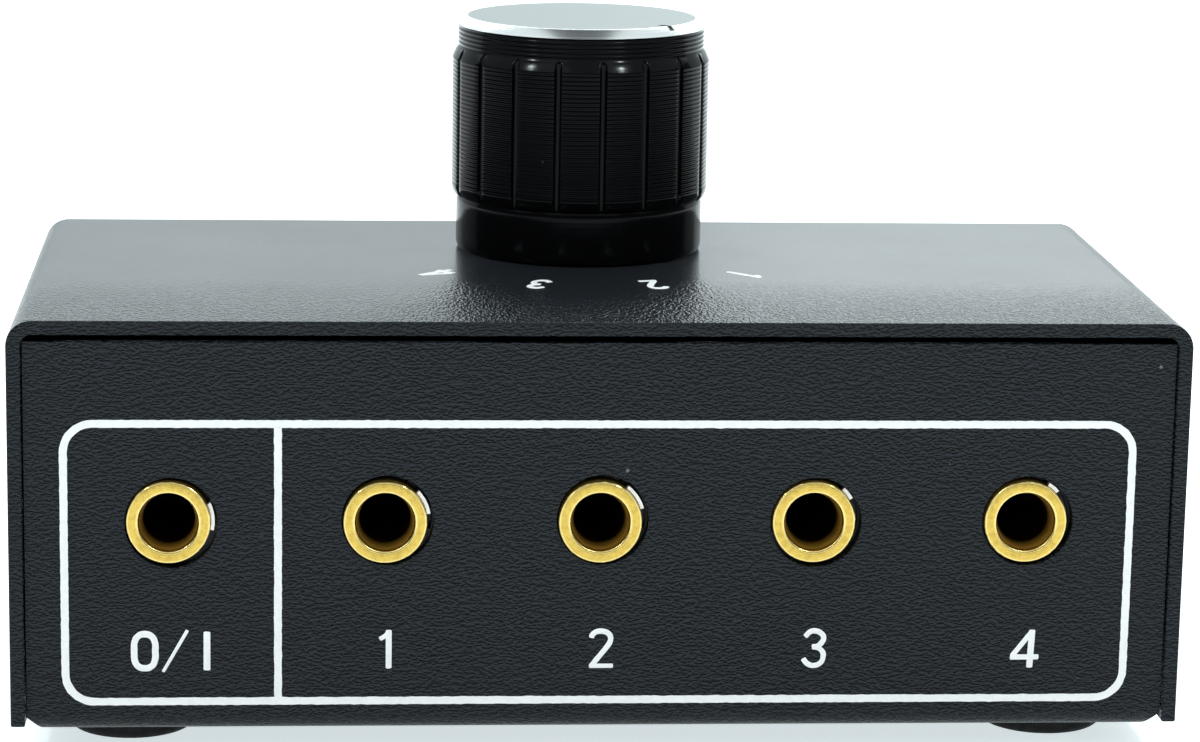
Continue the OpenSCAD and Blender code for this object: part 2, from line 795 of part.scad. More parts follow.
// Removes the flat's side of a shaft along X, or fills a bore to it
module flat_side(z0, z1) {
    translate([shaft_radius - shaft_flat, -2 * shaft_radius, z0])
        cube([2 * shaft_radius, 4 * shaft_radius, z1 - z0]);
}

// The shaft's bore in the rotor or the knob, with its flat
module shaft_bore(z0, z1) {
    difference() {
        translate([0, 0, z0]) cylinder(r = shaft_radius + seat_gap, h = z1 - z0);
        translate([seat_gap, 0, 0]) flat_side(z0 - through, z1 + through);
    }
}

module selector_shaft() {
    color("#cdced0") at_axis(0) rotate(first_angle) difference() {
        union() {
            translate([0, 0, rotor_z]) cylinder(r = shaft_radius, h = shaft_top - rotor_z);
            translate([0, 0, base_z]) cylinder(r = pilot_radius, h = rotor_z - base_z);
        }
        flat_side(rotor_z - through, rotor_top);
        flat_side(core_z, shaft_top + through);
        translate([0, 0, clip_z]) difference() {
            cylinder(r = shaft_radius + through, h = clip_thick + running_gap);
            translate([0, 0, -through])
                cylinder(r = shaft_radius - clip_groove, h = clip_thick + 2 * through);
        }
    }
}

// An open clip that snaps into the shaft's groove
module shaft_clip() {
    inner = shaft_radius - clip_groove + seat_gap;
    color("#6d6f72") at_axis(clip_z) rotate(first_angle) difference() {
        cylinder(r = clip_radius, h = clip_thick);
        translate([0, 0, -through]) {
            cylinder(r = inner, h = clip_thick + 2 * through);
            translate([0, -inner, 0]) cube([2 * clip_radius, 2 * inner, clip_thick + 2 * through]);
        }
    }
}

module switch_rotor() {
    color("#e8e4d6") at_axis(0) rotate(first_angle) difference() {
        union() {
            translate([0, 0, rotor_z]) cylinder(r = rotor_radius, h = rotor_top - rotor_z);
            translate([0, 0, stop_z])
                ring_part(rotor_radius - can_wall, lug_radius, stop_height, 90, stop_angle);
        }
        shaft_bore(rotor_z - through, rotor_top + through);
        translate([-pocket_floor, 0, ball_z]) rotate([0, -90, 0])
            cylinder(r = ball_radius + running_gap, h = switch_radius);
    }
}

// Two springy bridges, each from a common track to a pad
module switch_wipers() {
    low = can_z + pad_thick + wiper_gap + wiper_thick / 2;
    high = rotor_z - wiper_thick / 2;
    bridge = (pad_offset + track_offset) / 2;
    path = [
        [track_offset - track_wide / 2, low],
        [track_offset, low],
        [bridge - wiper_wide / 2, high],
        [bridge + wiper_wide / 2, high],
        [pad_offset, low],
        [pad_offset + pad_long / 2, low]
    ];
    color("#c9a03c") at_axis(0) for (pole = poles)
        rotate(first_angle + pole) along_y(wiper_wide) polygon(ribbon(path, wiper_thick));
}

// Ball in the rotor's side, held just clear of the crests between the notches
module detent_ball() {
    color("#cfd2d4") at_axis(ball_z) rotate(first_angle + poles[1]) translate([ball_offset, 0, 0])
        sphere(r = ball_radius);
}

// Coil from the pocket's floor to the ball
module detent_spring() {
    sides = wire_sides;
    rings = spring_turns * spring_steps;
    coil = ball_radius / 2;
    start = pocket_floor + wire_radius;
    end = ball_offset - sqrt(ball_radius ^ 2 - (coil + wire_radius) ^ 2) - wire_radius - running_gap;
    points = [for (i = [0 : rings], s = [0 : sides - 1])
        let (turn = i * 360 / spring_steps, around = s * 360 / sides)
        let (r = coil + wire_radius * cos(around))
        [start + (end - start) * i / rings + wire_radius * sin(around), r * cos(turn), r * sin(turn)]];
    walls = [for (i = [0 : rings - 1], s = [0 : sides - 1])
        let (a = i * sides + s, b = i * sides + (s + 1) % sides)
        [a, b, b + sides, a + sides]];
    triangles = [for (w = walls, half = [0, 1]) half == 0 ? [w[0], w[1], w[2]] : [w[0], w[2], w[3]]];
    front = [for (s = [1 : sides - 2]) [0, s + 1, s]];
    back = [for (s = [1 : sides - 2]) [rings * sides, rings * sides + s, rings * sides + s + 1]];
    color("#b4b7ba") at_axis(ball_z) rotate(first_angle + poles[1])
        polyhedron(points = points, faces = concat(triangles, front, back));
}

// Outline of the knob's shell, as a half section from the axis
module shell_section() {
    bulge = skirt_radius - neck_radius;
    bulge_radius = ((skirt_height / 2) ^ 2 + bulge ^ 2) / (2 * bulge);
    band_z = shell_height - band_height;
    intersection() {
        translate([skirt_radius - bulge_radius, skirt_height / 2]) circle(r = bulge_radius);
        translate([core_radius, 0]) square([grip_radius, skirt_height]);
    }
    polygon([
        [core_radius, skirt_height],
        [neck_radius, skirt_height],
        [grip_radius, skirt_height + grip_taper],
        [grip_radius, band_z - grip_bevel],
        [band_radius, band_z],
        [band_radius, shell_height],
        [cap_spigot, shell_height],
        [cap_spigot, shell_height - cap_depth],
        [0, shell_height - cap_depth],
        [0, shell_height - cap_depth - crown_thick],
        [core_radius, shell_height - cap_depth - crown_thick]
    ]);
}

module knob_shell() {
    color("#0e0f11") at_axis(knob_z) rotate(first_angle + grip_turn_angle) difference() {
        rotate_extrude() shell_section();
        for (i = [0 : ridges - 1])
            rotate(i * 360 / ridges) grip_groove();
    }
}

// One round groove along the grip, which runs out at the ridges' tapered ends
module grip_groove() {
    middle = max(band_radius, neck_radius) + groove_clear + groove_radius;
    translate([middle, 0, skirt_height])
        cylinder(r = groove_radius, h = shell_height - band_height - skirt_height);
}

// Moulded core: an outer wall, a shaft boss and ribs between them, closed at the top
module knob_core() {
    boss = shaft_radius + core_wall;
    pocket = 360 / core_ribs;
    rib = pocket * rib_share;
    depth = core_top - core_z - core_wall + through;
    color("#191a1c") at_axis(0) rotate(first_angle) difference() {
        translate([0, 0, core_z]) cylinder(r = core_radius - seat_gap, h = core_top - core_z);
        shaft_bore(core_z - through, shaft_top + turn_gap / 2);
        for (i = [0 : core_ribs - 1])
            translate([0, 0, core_z - through])
                ring_part(boss, core_radius - core_wall, depth, (i + 0.5) * pocket, pocket - rib);
    }
}

module knob_cap() {
    color("#dde3e4") at_axis(knob_z + shell_height) rotate(first_angle) difference() {
        union() {
            cylinder(r1 = band_radius, r2 = band_radius - rim_bevel, h = rim_bevel);
            translate([0, 0, seat_gap - cap_depth]) cylinder(r = cap_spigot - seat_gap, h = cap_depth);
        }
        translate([band_radius - index_length, -index_width / 2, rim_bevel - index_depth])
            cube([index_length + through, index_width, index_depth + through]);
    }
}

top_cover();
chassis();
cover_screws();
rubber_feet();
circuit_board();
board_standoffs();
board_screws();
for (i = [0 : len(socket_names) - 1], kind = contact_kinds)
    socket_piece(i, kind);
switch_bushing();
switch_can();
switch_base();
switch_terminals();
switch_washer();
switch_nut();
selector_shaft();
shaft_clip();
switch_rotor();
switch_wipers();
detent_spring();
detent_ball();
knob_shell();
knob_core();
knob_cap();
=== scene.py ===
import json
import math

import bmesh
import bpy
from mathutils import Matrix, Vector, noise


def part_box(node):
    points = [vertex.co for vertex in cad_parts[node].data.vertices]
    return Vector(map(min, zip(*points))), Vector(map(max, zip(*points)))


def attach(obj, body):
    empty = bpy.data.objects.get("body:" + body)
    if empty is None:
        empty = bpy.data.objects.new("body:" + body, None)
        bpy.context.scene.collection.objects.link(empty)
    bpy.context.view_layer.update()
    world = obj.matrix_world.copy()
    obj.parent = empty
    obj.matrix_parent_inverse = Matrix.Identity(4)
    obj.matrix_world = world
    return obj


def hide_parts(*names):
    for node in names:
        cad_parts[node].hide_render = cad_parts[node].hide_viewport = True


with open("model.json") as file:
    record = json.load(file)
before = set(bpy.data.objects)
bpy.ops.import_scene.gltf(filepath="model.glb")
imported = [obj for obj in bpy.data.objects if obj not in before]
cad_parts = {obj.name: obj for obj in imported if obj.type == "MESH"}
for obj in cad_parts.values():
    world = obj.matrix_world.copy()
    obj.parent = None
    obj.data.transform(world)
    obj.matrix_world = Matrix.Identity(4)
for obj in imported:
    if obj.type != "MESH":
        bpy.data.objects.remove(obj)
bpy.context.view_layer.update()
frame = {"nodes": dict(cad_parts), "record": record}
nodes = frame["nodes"]
scene = bpy.context.scene
mm = 0.001  # the pieces are drawn in millimetres and scaled once


def corners(node):
    # A node's lowest and highest corners, in millimetres.
    low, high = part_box(node)
    return Vector(low) / mm, Vector(high) / mm


def pointsOf(geometry):
    return [item for item in geometry if isinstance(item, bmesh.types.BMVert)]


def drawWire(mesher, points, closed=False):
    spots = [mesher.verts.new(point) for point in points]
    pairs = list(zip(spots, spots[1:]))
    if closed:
        pairs.append((spots[-1], spots[0]))
    return [mesher.edges.new(pair) for pair in pairs]


def sharpEdges(mesher, angle):
    limit = math.radians(angle)
    return [edge for edge in mesher.edges if len(edge.link_faces) == 2 and edge.calc_face_angle() > limit]


def softenEdges(mesher, edges, width, steps):
    bmesh.ops.bevel(mesher, geom=edges, offset=width, offset_type="OFFSET", affect="EDGES", segments=steps,
                    profile=0.5, material=-1, clamp_overlap=True)


def closeSeams(mesher, reach=0.0005):
    bmesh.ops.remove_doubles(mesher, verts=mesher.verts[:], dist=reach)
    bmesh.ops.recalc_face_normals(mesher, faces=mesher.faces[:])


def turnProfile(mesher, axis, steps):
    # A full turn of the wire that the mesh holds.
    bmesh.ops.spin(mesher, geom=mesher.verts[:] + mesher.edges[:], cent=(0, 0, 0), axis=axis, dvec=(0, 0, 0),
                   angle=math.tau, steps=steps, use_merge=True, use_duplicate=False)
    closeSeams(mesher)


def makeObject(name, mesher, materials):
    bmesh.ops.scale(mesher, vec=(mm, mm, mm), verts=mesher.verts[:])
    mesh = bpy.data.meshes.new(name)
    mesher.to_mesh(mesh)
    mesher.free()
    made = bpy.data.objects.new(name, mesh)
    scene.collection.objects.link(made)
    for material in materials:
        mesh.materials.append(material)
    return made


def settleModifiers(obj):
    # Puts the modifiers' result into the object's own mesh.
    bpy.context.view_layer.update()
    shaped = obj.evaluated_get(bpy.context.evaluated_depsgraph_get())
    mesh = bpy.data.meshes.new_from_object(shaped)
    obj.modifiers.clear()
    old = obj.data
    obj.data = mesh
    name = old.name
    bpy.data.meshes.remove(old)
    mesh.name = name


def carve(obj, tool, operation="DIFFERENCE"):
    # Cuts a tool out of an object, or joins it on, and removes the tool.
    change = obj.modifiers.new("carve", "BOOLEAN")
    change.operation = operation
    change.solver = "EXACT"
    change.object = tool
    settleModifiers(obj)
    bpy.data.objects.remove(tool)


def shadeSmooth(obj, sharpAngle, keepFlat=True):
    for polygon in obj.data.polygons:
        polygon.use_smooth = True
    obj.data.set_sharp_from_angle(angle=math.radians(sharpAngle))
    if keepFlat:
        flat = obj.modifiers.new("keepFlat", "WEIGHTED_NORMAL")
        flat.keep_sharp = True
        settleModifiers(obj)


def setDown(obj, body, slotName, *replaced):
    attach(obj, body)
    if replaced:
        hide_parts(*replaced)


cameraView = {"place": (-20.02, -277.73, 82.63), "yaw": 4.36, "pitch": 11.977, "roll": 1.02, "lens": 114.94,
              "sensor": 36.0, "clip": 0.01}


def aimCamera(values):
    yaw, pitch, roll = (math.radians(values[key]) for key in ("yaw", "pitch", "roll"))
    ahead = Vector((math.sin(yaw) * math.cos(pitch), math.cos(yaw) * math.cos(pitch), -math.sin(pitch)))
    level = Vector((math.cos(yaw), -math.sin(yaw), 0.0))
    right = level * math.cos(roll) + level.cross(ahead) * math.sin(roll)
    data = bpy.data.cameras.new("photoCamera")
    data.sensor_fit = "HORIZONTAL"
    data.sensor_width = values["sensor"]
    data.lens = values["lens"]
    data.clip_start = values["clip"]
    made = bpy.data.objects.new("photoCamera", data)
    turn = Matrix((right, right.cross(ahead), -ahead)).transposed().to_4x4()
    made.matrix_world = Matrix.Translation(Vector(values["place"]) * mm) @ turn
    scene.collection.objects.link(made)
    scene.camera = made


aimCamera(cameraView)
print("camera set")


def addNode(tree, kind, inputs=None, **settings):
    # An input is a fixed value or another node's output.
    made = tree.nodes.new(kind)
    for key, value in settings.items():
        setattr(made, key, value)
    for key, value in (inputs or {}).items():
        if isinstance(value, bpy.types.NodeSocket):
            tree.links.new(value, made.inputs[key])
        else:
            made.inputs[key].default_value = value
    return made


def compute(tree, operation, *terms):
    return addNode(tree, "ShaderNodeMath", dict(enumerate(terms)), operation=operation).outputs[0]


def computeVector(tree, operation, *terms):
    return addNode(tree, "ShaderNodeVectorMath", dict(enumerate(terms)), operation=operation).outputs[0]


def lengthOf(tree, vector):
    return addNode(tree, "ShaderNodeVectorMath", {0: vector}, operation="LENGTH").outputs["Value"]


def splitVector(tree, vector):
    return addNode(tree, "ShaderNodeSeparateXYZ", {0: vector}).outputs


def joinVector(tree, x, y, z=0.0):
    return addNode(tree, "ShaderNodeCombineXYZ", {0: x, 1: y, 2: z}).outputs[0]


def mixValues(tree, factor, first, second):
    return addNode(tree, "ShaderNodeMix", {"Factor": factor, 2: first, 3: second}).outputs[0]


def mixColors(tree, factor, first, second):
    # A colour is a tuple or another node's output.
    inputs = {"Factor": factor}
    for slot, color in ((6, first), (7, second)):
        inputs[slot] = color + (1.0,) if isinstance(color, tuple) else color
    return addNode(tree, "ShaderNodeMix", inputs, data_type="RGBA").outputs[2]


def noiseField(tree, spot, scale, detail=3.0):
    return addNode(tree, "ShaderNodeTexNoise", {"Vector": spot, "Scale": scale, "Detail": detail}).outputs[0]


def spread(tree, field, low, high, first, second):
    # Carries a field from one range to another.
    return addNode(tree, "ShaderNodeMapRange", {0: field, 1: low, 2: high, 3: first, 4: second}).outputs[0]


noiseRange = (0.3, 0.7)  # most of a noise field lies between these


def roughFrom(tree, field, rough):
    return spread(tree, field, *noiseRange, *rough)


def raiseSurface(tree, shader, field, strength, depth):
    bump = addNode(tree, "ShaderNodeBump", {"Height": field, "Strength": strength, "Distance": depth * mm})
    tree.links.new(bump.outputs[0], shader.inputs["Normal"])


def newGroup(name, inputs, outputs):
    tree = bpy.data.node_groups.new(name, "ShaderNodeTree")
    for label, kind in inputs:
        tree.interface.new_socket(name=label, in_out="INPUT", socket_type=kind)
    for label, kind in outputs:
        tree.interface.new_socket(name=label, in_out="OUTPUT", socket_type=kind)
    return tree, tree.nodes.new("NodeGroupInput"), tree.nodes.new("NodeGroupOutput")


wrinkleGrain = {"warp": 0.5, "detail": 0.6, "rough": 0.5, "low": 0.28, "high": 0.72,
                "slopeStep": (0.0, 0.0, 0.4)}


def wrinkleGroup(values):
    # Wrinkle paint: the height of its soft ridges, and how far they face up or down, from which the case paint
    # paints light and shade.
    tree, start, end = newGroup("wrinkleField",
                                [("Vector", "NodeSocketVector"), ("Stretch", "NodeSocketVector")],
                                [("Height", "NodeSocketFloat"), ("Slope", "NodeSocketFloat")])
    spot = computeVector(tree, "MULTIPLY", start.outputs[0], start.outputs[1])
    higher = computeVector(tree, "ADD", spot, values["slopeStep"])
    heights = []
    for place in (spot, higher):
        creases = addNode(tree, "ShaderNodeTexNoise",
                          {"Vector": place, "Scale": 1.0, "Detail": values["detail"],
                           "Roughness": values["rough"], "Distortion": values["warp"]}).outputs[0]
        heights.append(addNode(tree, "ShaderNodeMapRange",
                               {0: creases, 1: values["low"], 2: values["high"], 3: 0.0, 4: 1.0},
                               interpolation_type="SMOOTHSTEP").outputs[0])
    tree.links.new(heights[0], end.inputs[0])
    tree.links.new(compute(tree, "SUBTRACT", heights[0], heights[1]), end.inputs[1])
    return tree


dustDots = {"core": 0.05, "edge": 0.1}


def speckGroup(values):
    # Sparse specks of dust, as a mask.
    tree, start, end = newGroup("dustSpecks", [("Vector", "NodeSocketVector"), ("Scale", "NodeSocketFloat"),
                                               ("Share", "NodeSocketFloat")], [("Mask", "NodeSocketFloat")])
    cells = addNode(tree, "ShaderNodeTexVoronoi", {"Vector": start.outputs[0], "Scale": start.outputs[1]},
                    feature="F1")
    dots = spread(tree, cells.outputs["Distance"], values["core"], values["edge"], 1.0, 0.0)
    draw = addNode(tree, "ShaderNodeSeparateColor", {0: cells.outputs["Color"]}).outputs[0]
    chosen = compute(tree, "LESS_THAN", draw, start.outputs[2])
    tree.links.new(compute(tree, "MULTIPLY", dots, chosen), end.inputs[0])
    return tree


turnedLines = {"detail": 2.5, "rough": 0.65}


def turnedGroup(values):
    # Fine rings round an axis: the first two coordinates give the radius, the third runs along the axis.
    tree, start, end = newGroup("turnedRings", [("Vector", "NodeSocketVector"), ("Scale", "NodeSocketFloat")],
                                [("Height", "NodeSocketFloat")])
    parts = splitVector(tree, start.outputs[0])
    radius = lengthOf(tree, joinVector(tree, parts[0], parts[1]))
    lines = addNode(tree, "ShaderNodeTexNoise",
                    {"Vector": joinVector(tree, radius, 0.0, parts[2]), "Scale": start.outputs[1],
                     "Detail": values["detail"], "Roughness": values["rough"]})
    tree.links.new(lines.outputs[0], end.inputs[0])
    return tree


wrinkles = wrinkleGroup(wrinkleGrain)
specks = speckGroup(dustDots)
rings = turnedGroup(turnedLines)


def newMaterial(name, settings):
    made = bpy.data.materials.new(name)
    made.use_nodes = True
    tree = made.node_tree
    tree.nodes.clear()
    shader = addNode(tree, "ShaderNodeBsdfPrincipled", settings)
    output = tree.nodes.new("ShaderNodeOutputMaterial")
    tree.links.new(shader.outputs[0], output.inputs[0])
    spot = tree.nodes.new("ShaderNodeTexCoord").outputs["Object"]
    return made, tree, shader, spot


def useGroup(tree, group, inputs):
    return addNode(tree, "ShaderNodeGroup", inputs, node_tree=group).outputs


def dustMask(tree, spot, values):
    return useGroup(tree, specks, {"Vector": spot, "Scale": values["dustScale"],
                                   "Share": values["dustShare"]})["Mask"]


def ringsRound(tree, spot, axis, scale):
    # Fine turning lines round the knob's axis.
    centred = computeVector(tree, "SUBTRACT", spot, axis * mm)
    return useGroup(tree, rings, {"Vector": centred, "Scale": scale})["Height"]


def depthMask(tree, along, face, reach):
    # 0 up to the first depth behind a front face, and 1 past the second.
    return spread(tree, along, (face + reach[0]) * mm, (face + reach[1]) * mm, 0.0, 1.0)


# The dark and light colours are the painted shade and painted light of the wrinkles; the dark one is also
# painted as shade inside the case.
casePaint = {"dark": (0.0002, 0.0003, 0.0004), "light": (0.0275, 0.0325, 0.0387), "dust": (0.16, 0.16, 0.165),
             "dustScale": 620.0, "dustShare": 0.06, "gloss": 0.11, "rough": (0.21, 0.24), "hazeScale": 90.0,
             "contrast": 0.24, "sideGrain": (3000.0, 3600.0, 6200.0), "sideDepth": 0.04,
             "topGrain": (4700.0, 2500.0, 3600.0), "topDepth": 0.075, "topFrom": 0.25, "topTo": 0.1,
             "softFrom": -18.0, "softTo": -4.0, "softShare": 0.04, "wall": 0.6, "wallFade": 0.1,
             "insideRough": 0.95}


def insideCase(tree, spot, values):
    # A mask of the hollow of the case, where the paint's colour is darkened as painted shade and its roughness
    # is made dull.
    chassisLow, chassisHigh = corners("chassis")
    coverLow, coverHigh = corners("top_cover")
    low = Vector((coverLow.x, chassisLow.y, chassisLow.z))
    high = Vector((coverHigh.x, chassisHigh.y, coverHigh.z))
    half = (high - low) / 2 - Vector((values["wall"], values["wall"], values["wall"]))
    apart = computeVector(tree, "ABSOLUTE", computeVector(tree, "SUBTRACT", spot, (low + high) / 2 * mm))
    parts = splitVector(tree, computeVector(tree, "SUBTRACT", apart, half * mm))
    most = compute(tree, "MAXIMUM", compute(tree, "MAXIMUM", parts[0], parts[1]), parts[2])
    return spread(tree, most, -values["wallFade"] * mm, 0.0, 1.0, 0.0)


def makeCasePaint(values, topHeight):
    # The grain is longer on the upright faces, and it softens towards the back of the top.
    made, tree, shader, spot = newMaterial("casePaint", {"Specular IOR Level": values["gloss"]})
    parts = splitVector(tree, spot)
    sides = useGroup(tree, wrinkles, {"Vector": spot, "Stretch": values["sideGrain"]})
    top = useGroup(tree, wrinkles, {"Vector": spot, "Stretch": values["topGrain"]})
    soft = spread(tree, parts[1], values["softFrom"] * mm, values["softTo"] * mm, values["topDepth"],
                  values["topDepth"] * values["softShare"])
    calm = compute(tree, "MULTIPLY", top["Height"], soft)
    deep = compute(tree, "MULTIPLY", sides["Height"], values["sideDepth"])
    above = spread(tree, parts[2], (topHeight - values["topFrom"]) * mm, (topHeight - values["topTo"]) * mm,
                   0.0, 1.0)
    # Painted light and shade: on the upright faces the wrinkles' slope lightens their upper sides and darkens
    # their lower sides, as if lit from above.
    shadedFacing = mixValues(tree, above, sides["Slope"], 0.0)
    paintedRelief = spread(tree, shadedFacing, -values["contrast"], values["contrast"], 0.0, 1.0)
    tone = mixColors(tree, paintedRelief, values["dark"], values["light"])
    tone = mixColors(tree, dustMask(tree, spot, values), tone, values["dust"])
    # Painted shade: inside the case the colour goes to the dark end.
    shadedHollow = insideCase(tree, spot, values)
    tree.links.new(mixColors(tree, shadedHollow, tone, values["dark"]), shader.inputs["Base Color"])
    haze = roughFrom(tree, noiseField(tree, spot, values["hazeScale"]), values["rough"])
    tree.links.new(mixValues(tree, shadedHollow, haze, values["insideRough"]), shader.inputs["Roughness"])
    raiseSurface(tree, shader, mixValues(tree, above, deep, calm), 1.0, 1.0)
    return made


whiteInk = {"low": (0.92, 0.92, 0.91), "high": (0.97, 0.96, 0.95), "grain": (2300.0, 2700.0, 3500.0),
            "rough": 0.55, "bump": 0.4, "depth": 0.03}


def makeInk(values):
    made, tree, shader, spot = newMaterial("whiteInk", {"Roughness": values["rough"]})
    field = useGroup(tree, wrinkles, {"Vector": spot, "Stretch": values["grain"]})["Height"]
    tree.links.new(mixColors(tree, field, values["low"], values["high"]), shader.inputs["Base Color"])
    raiseSurface(tree, shader, field, values["bump"], values["depth"])
    return made


brassFinish = {"bright": (0.575, 0.4, 0.088), "dull": (0.38, 0.235, 0.045), "rimHighlight": (0.87, 0.7, 0.3),
               "lip": (0.85, 0.5, 0.08), "inside": (0.03, 0.015, 0.003), "rimHighlightWidth": 0.19, "mouthRadius": 2.1,
               "blotScale": 2300.0, "blotDetail": 4.0, "blotRange": (0.42, 0.7), "blotShare": 0.6,
               "lipDepth": (0.1, 0.25), "shadeDepth": (0.4, 1.7), "roughDepth": (0.15, 0.5),
               "ringScale": 16000.0, "rough": (0.2, 0.36), "insideRough": 0.5, "bump": 0.7, "depth": 0.02}


def makeBrass(values, middle, pitch, face, outer):
    # Turning rings, a little tarnish, painted highlights on the outer and inner rim edges, and painted shade
    # that darkens the bore away from its mouth.
    made, tree, shader, spot = newMaterial("turnedBrass", {"Metallic": 1.0})
    parts = splitVector(tree, spot)
    across = compute(tree, "SUBTRACT", parts[0], middle.x * mm)
    own = compute(tree, "WRAP", across, pitch * mm / 2, -pitch * mm / 2)
    up = compute(tree, "SUBTRACT", parts[2], middle.z * mm)
    around = joinVector(tree, own, up, parts[1])
    field = useGroup(tree, rings, {"Vector": around, "Scale": values["ringScale"]})["Height"]
    blot = noiseField(tree, spot, values["blotScale"], values["blotDetail"])
    tarnish = spread(tree, blot, *values["blotRange"], 0.0, values["blotShare"])
    tone = mixColors(tree, tarnish, values["bright"], values["dull"])
    radius = lengthOf(tree, joinVector(tree, own, up))
    # Painted highlight: a pale colour on the outer and inner rim edges, as if they catch the light.
    mouth, width = values["mouthRadius"], values["rimHighlightWidth"]
    outerHighlight = spread(tree, radius, (outer - width) * mm, outer * mm, 0.0, 1.0)
    innerHighlight = spread(tree, radius, mouth * mm, (mouth + width) * mm, 1.0, 0.0)
    tone = mixColors(tree, compute(tree, "MAXIMUM", outerHighlight, innerHighlight), tone, values["rimHighlight"])
    tone = mixColors(tree, depthMask(tree, parts[1], face, values["lipDepth"]), tone, values["lip"])
    # Painted shade: past the lip the bore darkens to the inside colour away from its mouth.
    tone = mixColors(tree, depthMask(tree, parts[1], face, values["shadeDepth"]), tone, values["inside"])
    tree.links.new(tone, shader.inputs["Base Color"])
    bore = depthMask(tree, parts[1], face, values["roughDepth"])
    gloss = mixValues(tree, bore, roughFrom(tree, field, values["rough"]), values["insideRough"])
    tree.links.new(gloss, shader.inputs["Roughness"])
    raiseSurface(tree, shader, field, values["bump"], values["depth"])
    return made


knobPaint = {"dark": (0.0016, 0.0017, 0.002), "dust": (0.05, 0.05, 0.052), "dustScale": 900.0,
             "dustShare": 0.02, "gloss": 0.08, "rough": (0.11, 0.15), "hazeScale": 700.0, "hazeDetail": 4.0,
             "ringScale": 5200.0, "bump": 0.25, "depth": 0.02}


def makeKnobPaint(values, axis):
    made, tree, shader, spot = newMaterial("knobBlack", {"Specular IOR Level": values["gloss"]})
    tone = mixColors(tree, dustMask(tree, spot, values), values["dark"], values["dust"])
    tree.links.new(tone, shader.inputs["Base Color"])
    haze = noiseField(tree, spot, values["hazeScale"], values["hazeDetail"])
    tree.links.new(roughFrom(tree, haze, values["rough"]), shader.inputs["Roughness"])
    field = ringsRound(tree, spot, axis, values["ringScale"])
    raiseSurface(tree, shader, field, values["bump"], values["depth"])
    return made


capFinish = {"low": (0.3, 0.32, 0.32), "high": (0.38, 0.402, 0.402), "rough": (0.34, 0.44), "edgeTint": 0.62,
             "ringScale": 9000.0, "bump": 0.3, "depth": 0.02}
rimFinish = {"low": (0.68, 0.71, 0.71), "high": (0.76, 0.79, 0.79), "rough": (0.2, 0.28), "edgeTint": 1.0,
             "ringScale": 9000.0, "bump": 0.05, "depth": 0.02}


def makeSpunMetal(name, values, axis):
    # Spun metal; an edge tint below 1 dulls it at a flat angle.
    tint = (values["edgeTint"], values["edgeTint"], values["edgeTint"], 1.0)
    made, tree, shader, spot = newMaterial(name, {"Metallic": 1.0, "Specular Tint": tint})
    field = ringsRound(tree, spot, axis, values["ringScale"])
    tree.links.new(mixColors(tree, field, values["low"], values["high"]), shader.inputs["Base Color"])
    tree.links.new(roughFrom(tree, field, values["rough"]), shader.inputs["Roughness"])
    raiseSurface(tree, shader, field, values["bump"], values["depth"])
    return made


fingerFinish = {"bright": (0.82, 0.81, 0.79), "dark": (0.02, 0.02, 0.02), "metallic": 0.7, "rough": 0.45,
                "shadeDepth": (0.25, 0.8)}


def makeFinger(values, face):
    # Tinned strip whose root is dull in the shade of the panel hole.
    made, tree, shader, spot = newMaterial("tinnedFinger", {"Metallic": values["metallic"],
                                                            "Roughness": values["rough"]})
    shade = depthMask(tree, splitVector(tree, spot)[1], face, values["shadeDepth"])
    tree.links.new(mixColors(tree, shade, values["bright"], values["dark"]), shader.inputs["Base Color"])
    return made


# Plain grained finishes: two colours, how metallic, the range of roughness, and the grain's scale and depth.
grainFinishes = {
    "black_zinc": ("blackZinc", (0.012, 0.012, 0.013), (0.03, 0.03, 0.032), 0.6, (0.3, 0.45), 900.0, 0.02),
    "rubber": ("footRubber", (0.008, 0.008, 0.008), (0.016, 0.016, 0.016), 0.0, (0.7, 0.9), 2200.0, 0.06),
    "board_green": ("solderMask", (0.008, 0.07, 0.025), (0.015, 0.1, 0.04), 0.0, (0.3, 0.4), 500.0, 0.02),
    "tinned": ("tinnedStrip", (0.78, 0.78, 0.77), (0.9, 0.9, 0.89), 1.0, (0.25, 0.4), 1500.0, 0.01),
    "black_plastic": ("blackPlastic", (0.006, 0.006, 0.007), (0.01, 0.01, 0.011), 0.0, (0.4, 0.55), 1800.0,
                      0.02),
    "phenolic": ("phenolicSheet", (0.11, 0.045, 0.015), (0.2, 0.09, 0.03), 0.0, (0.5, 0.65), 1200.0, 0.02),
    "die_cast": ("dieCastZinc", (0.42, 0.42, 0.41), (0.56, 0.56, 0.54), 1.0, (0.35, 0.5), 1400.0, 0.03),
    "steel": ("nickelSteel", (0.55, 0.55, 0.55), (0.66, 0.66, 0.66), 1.0, (0.22, 0.35), 1600.0, 0.01),
    "nylon": ("naturalNylon", (0.68, 0.63, 0.5), (0.78, 0.74, 0.62), 0.0, (0.45, 0.6), 900.0, 0.02),
    "spring_brass": ("springBrass", (0.6, 0.4, 0.12), (0.74, 0.52, 0.18), 1.0, (0.25, 0.4), 1500.0, 0.01),
}
grainLook = {"detail": 5.0, "bump": 0.3}


def makeGrained(values, name, low, high, metallic, rough, scale, depth):
    made, tree, shader, spot = newMaterial(name, {"Metallic": metallic})
    field = noiseField(tree, spot, scale, values["detail"])
    tree.links.new(mixColors(tree, field, low, high), shader.inputs["Base Color"])
    tree.links.new(roughFrom(tree, field, rough), shader.inputs["Roughness"])
    raiseSurface(tree, shader, field, values["bump"], depth)
    return made


capLow, capHigh = corners("knob_cap")
knobAxis = (capLow + capHigh) / 2
knobAxis.z = 0.0
socketNames = ("common", "1", "2", "3", "4")
bushBoxes = {name: corners("socket_%s_bush" % name) for name in socketNames}
bushMiddles = {name: (low + high) / 2 for name, (low, high) in bushBoxes.items()}
socketPitch = (bushMiddles["4"].x - bushMiddles["common"].x) / 4

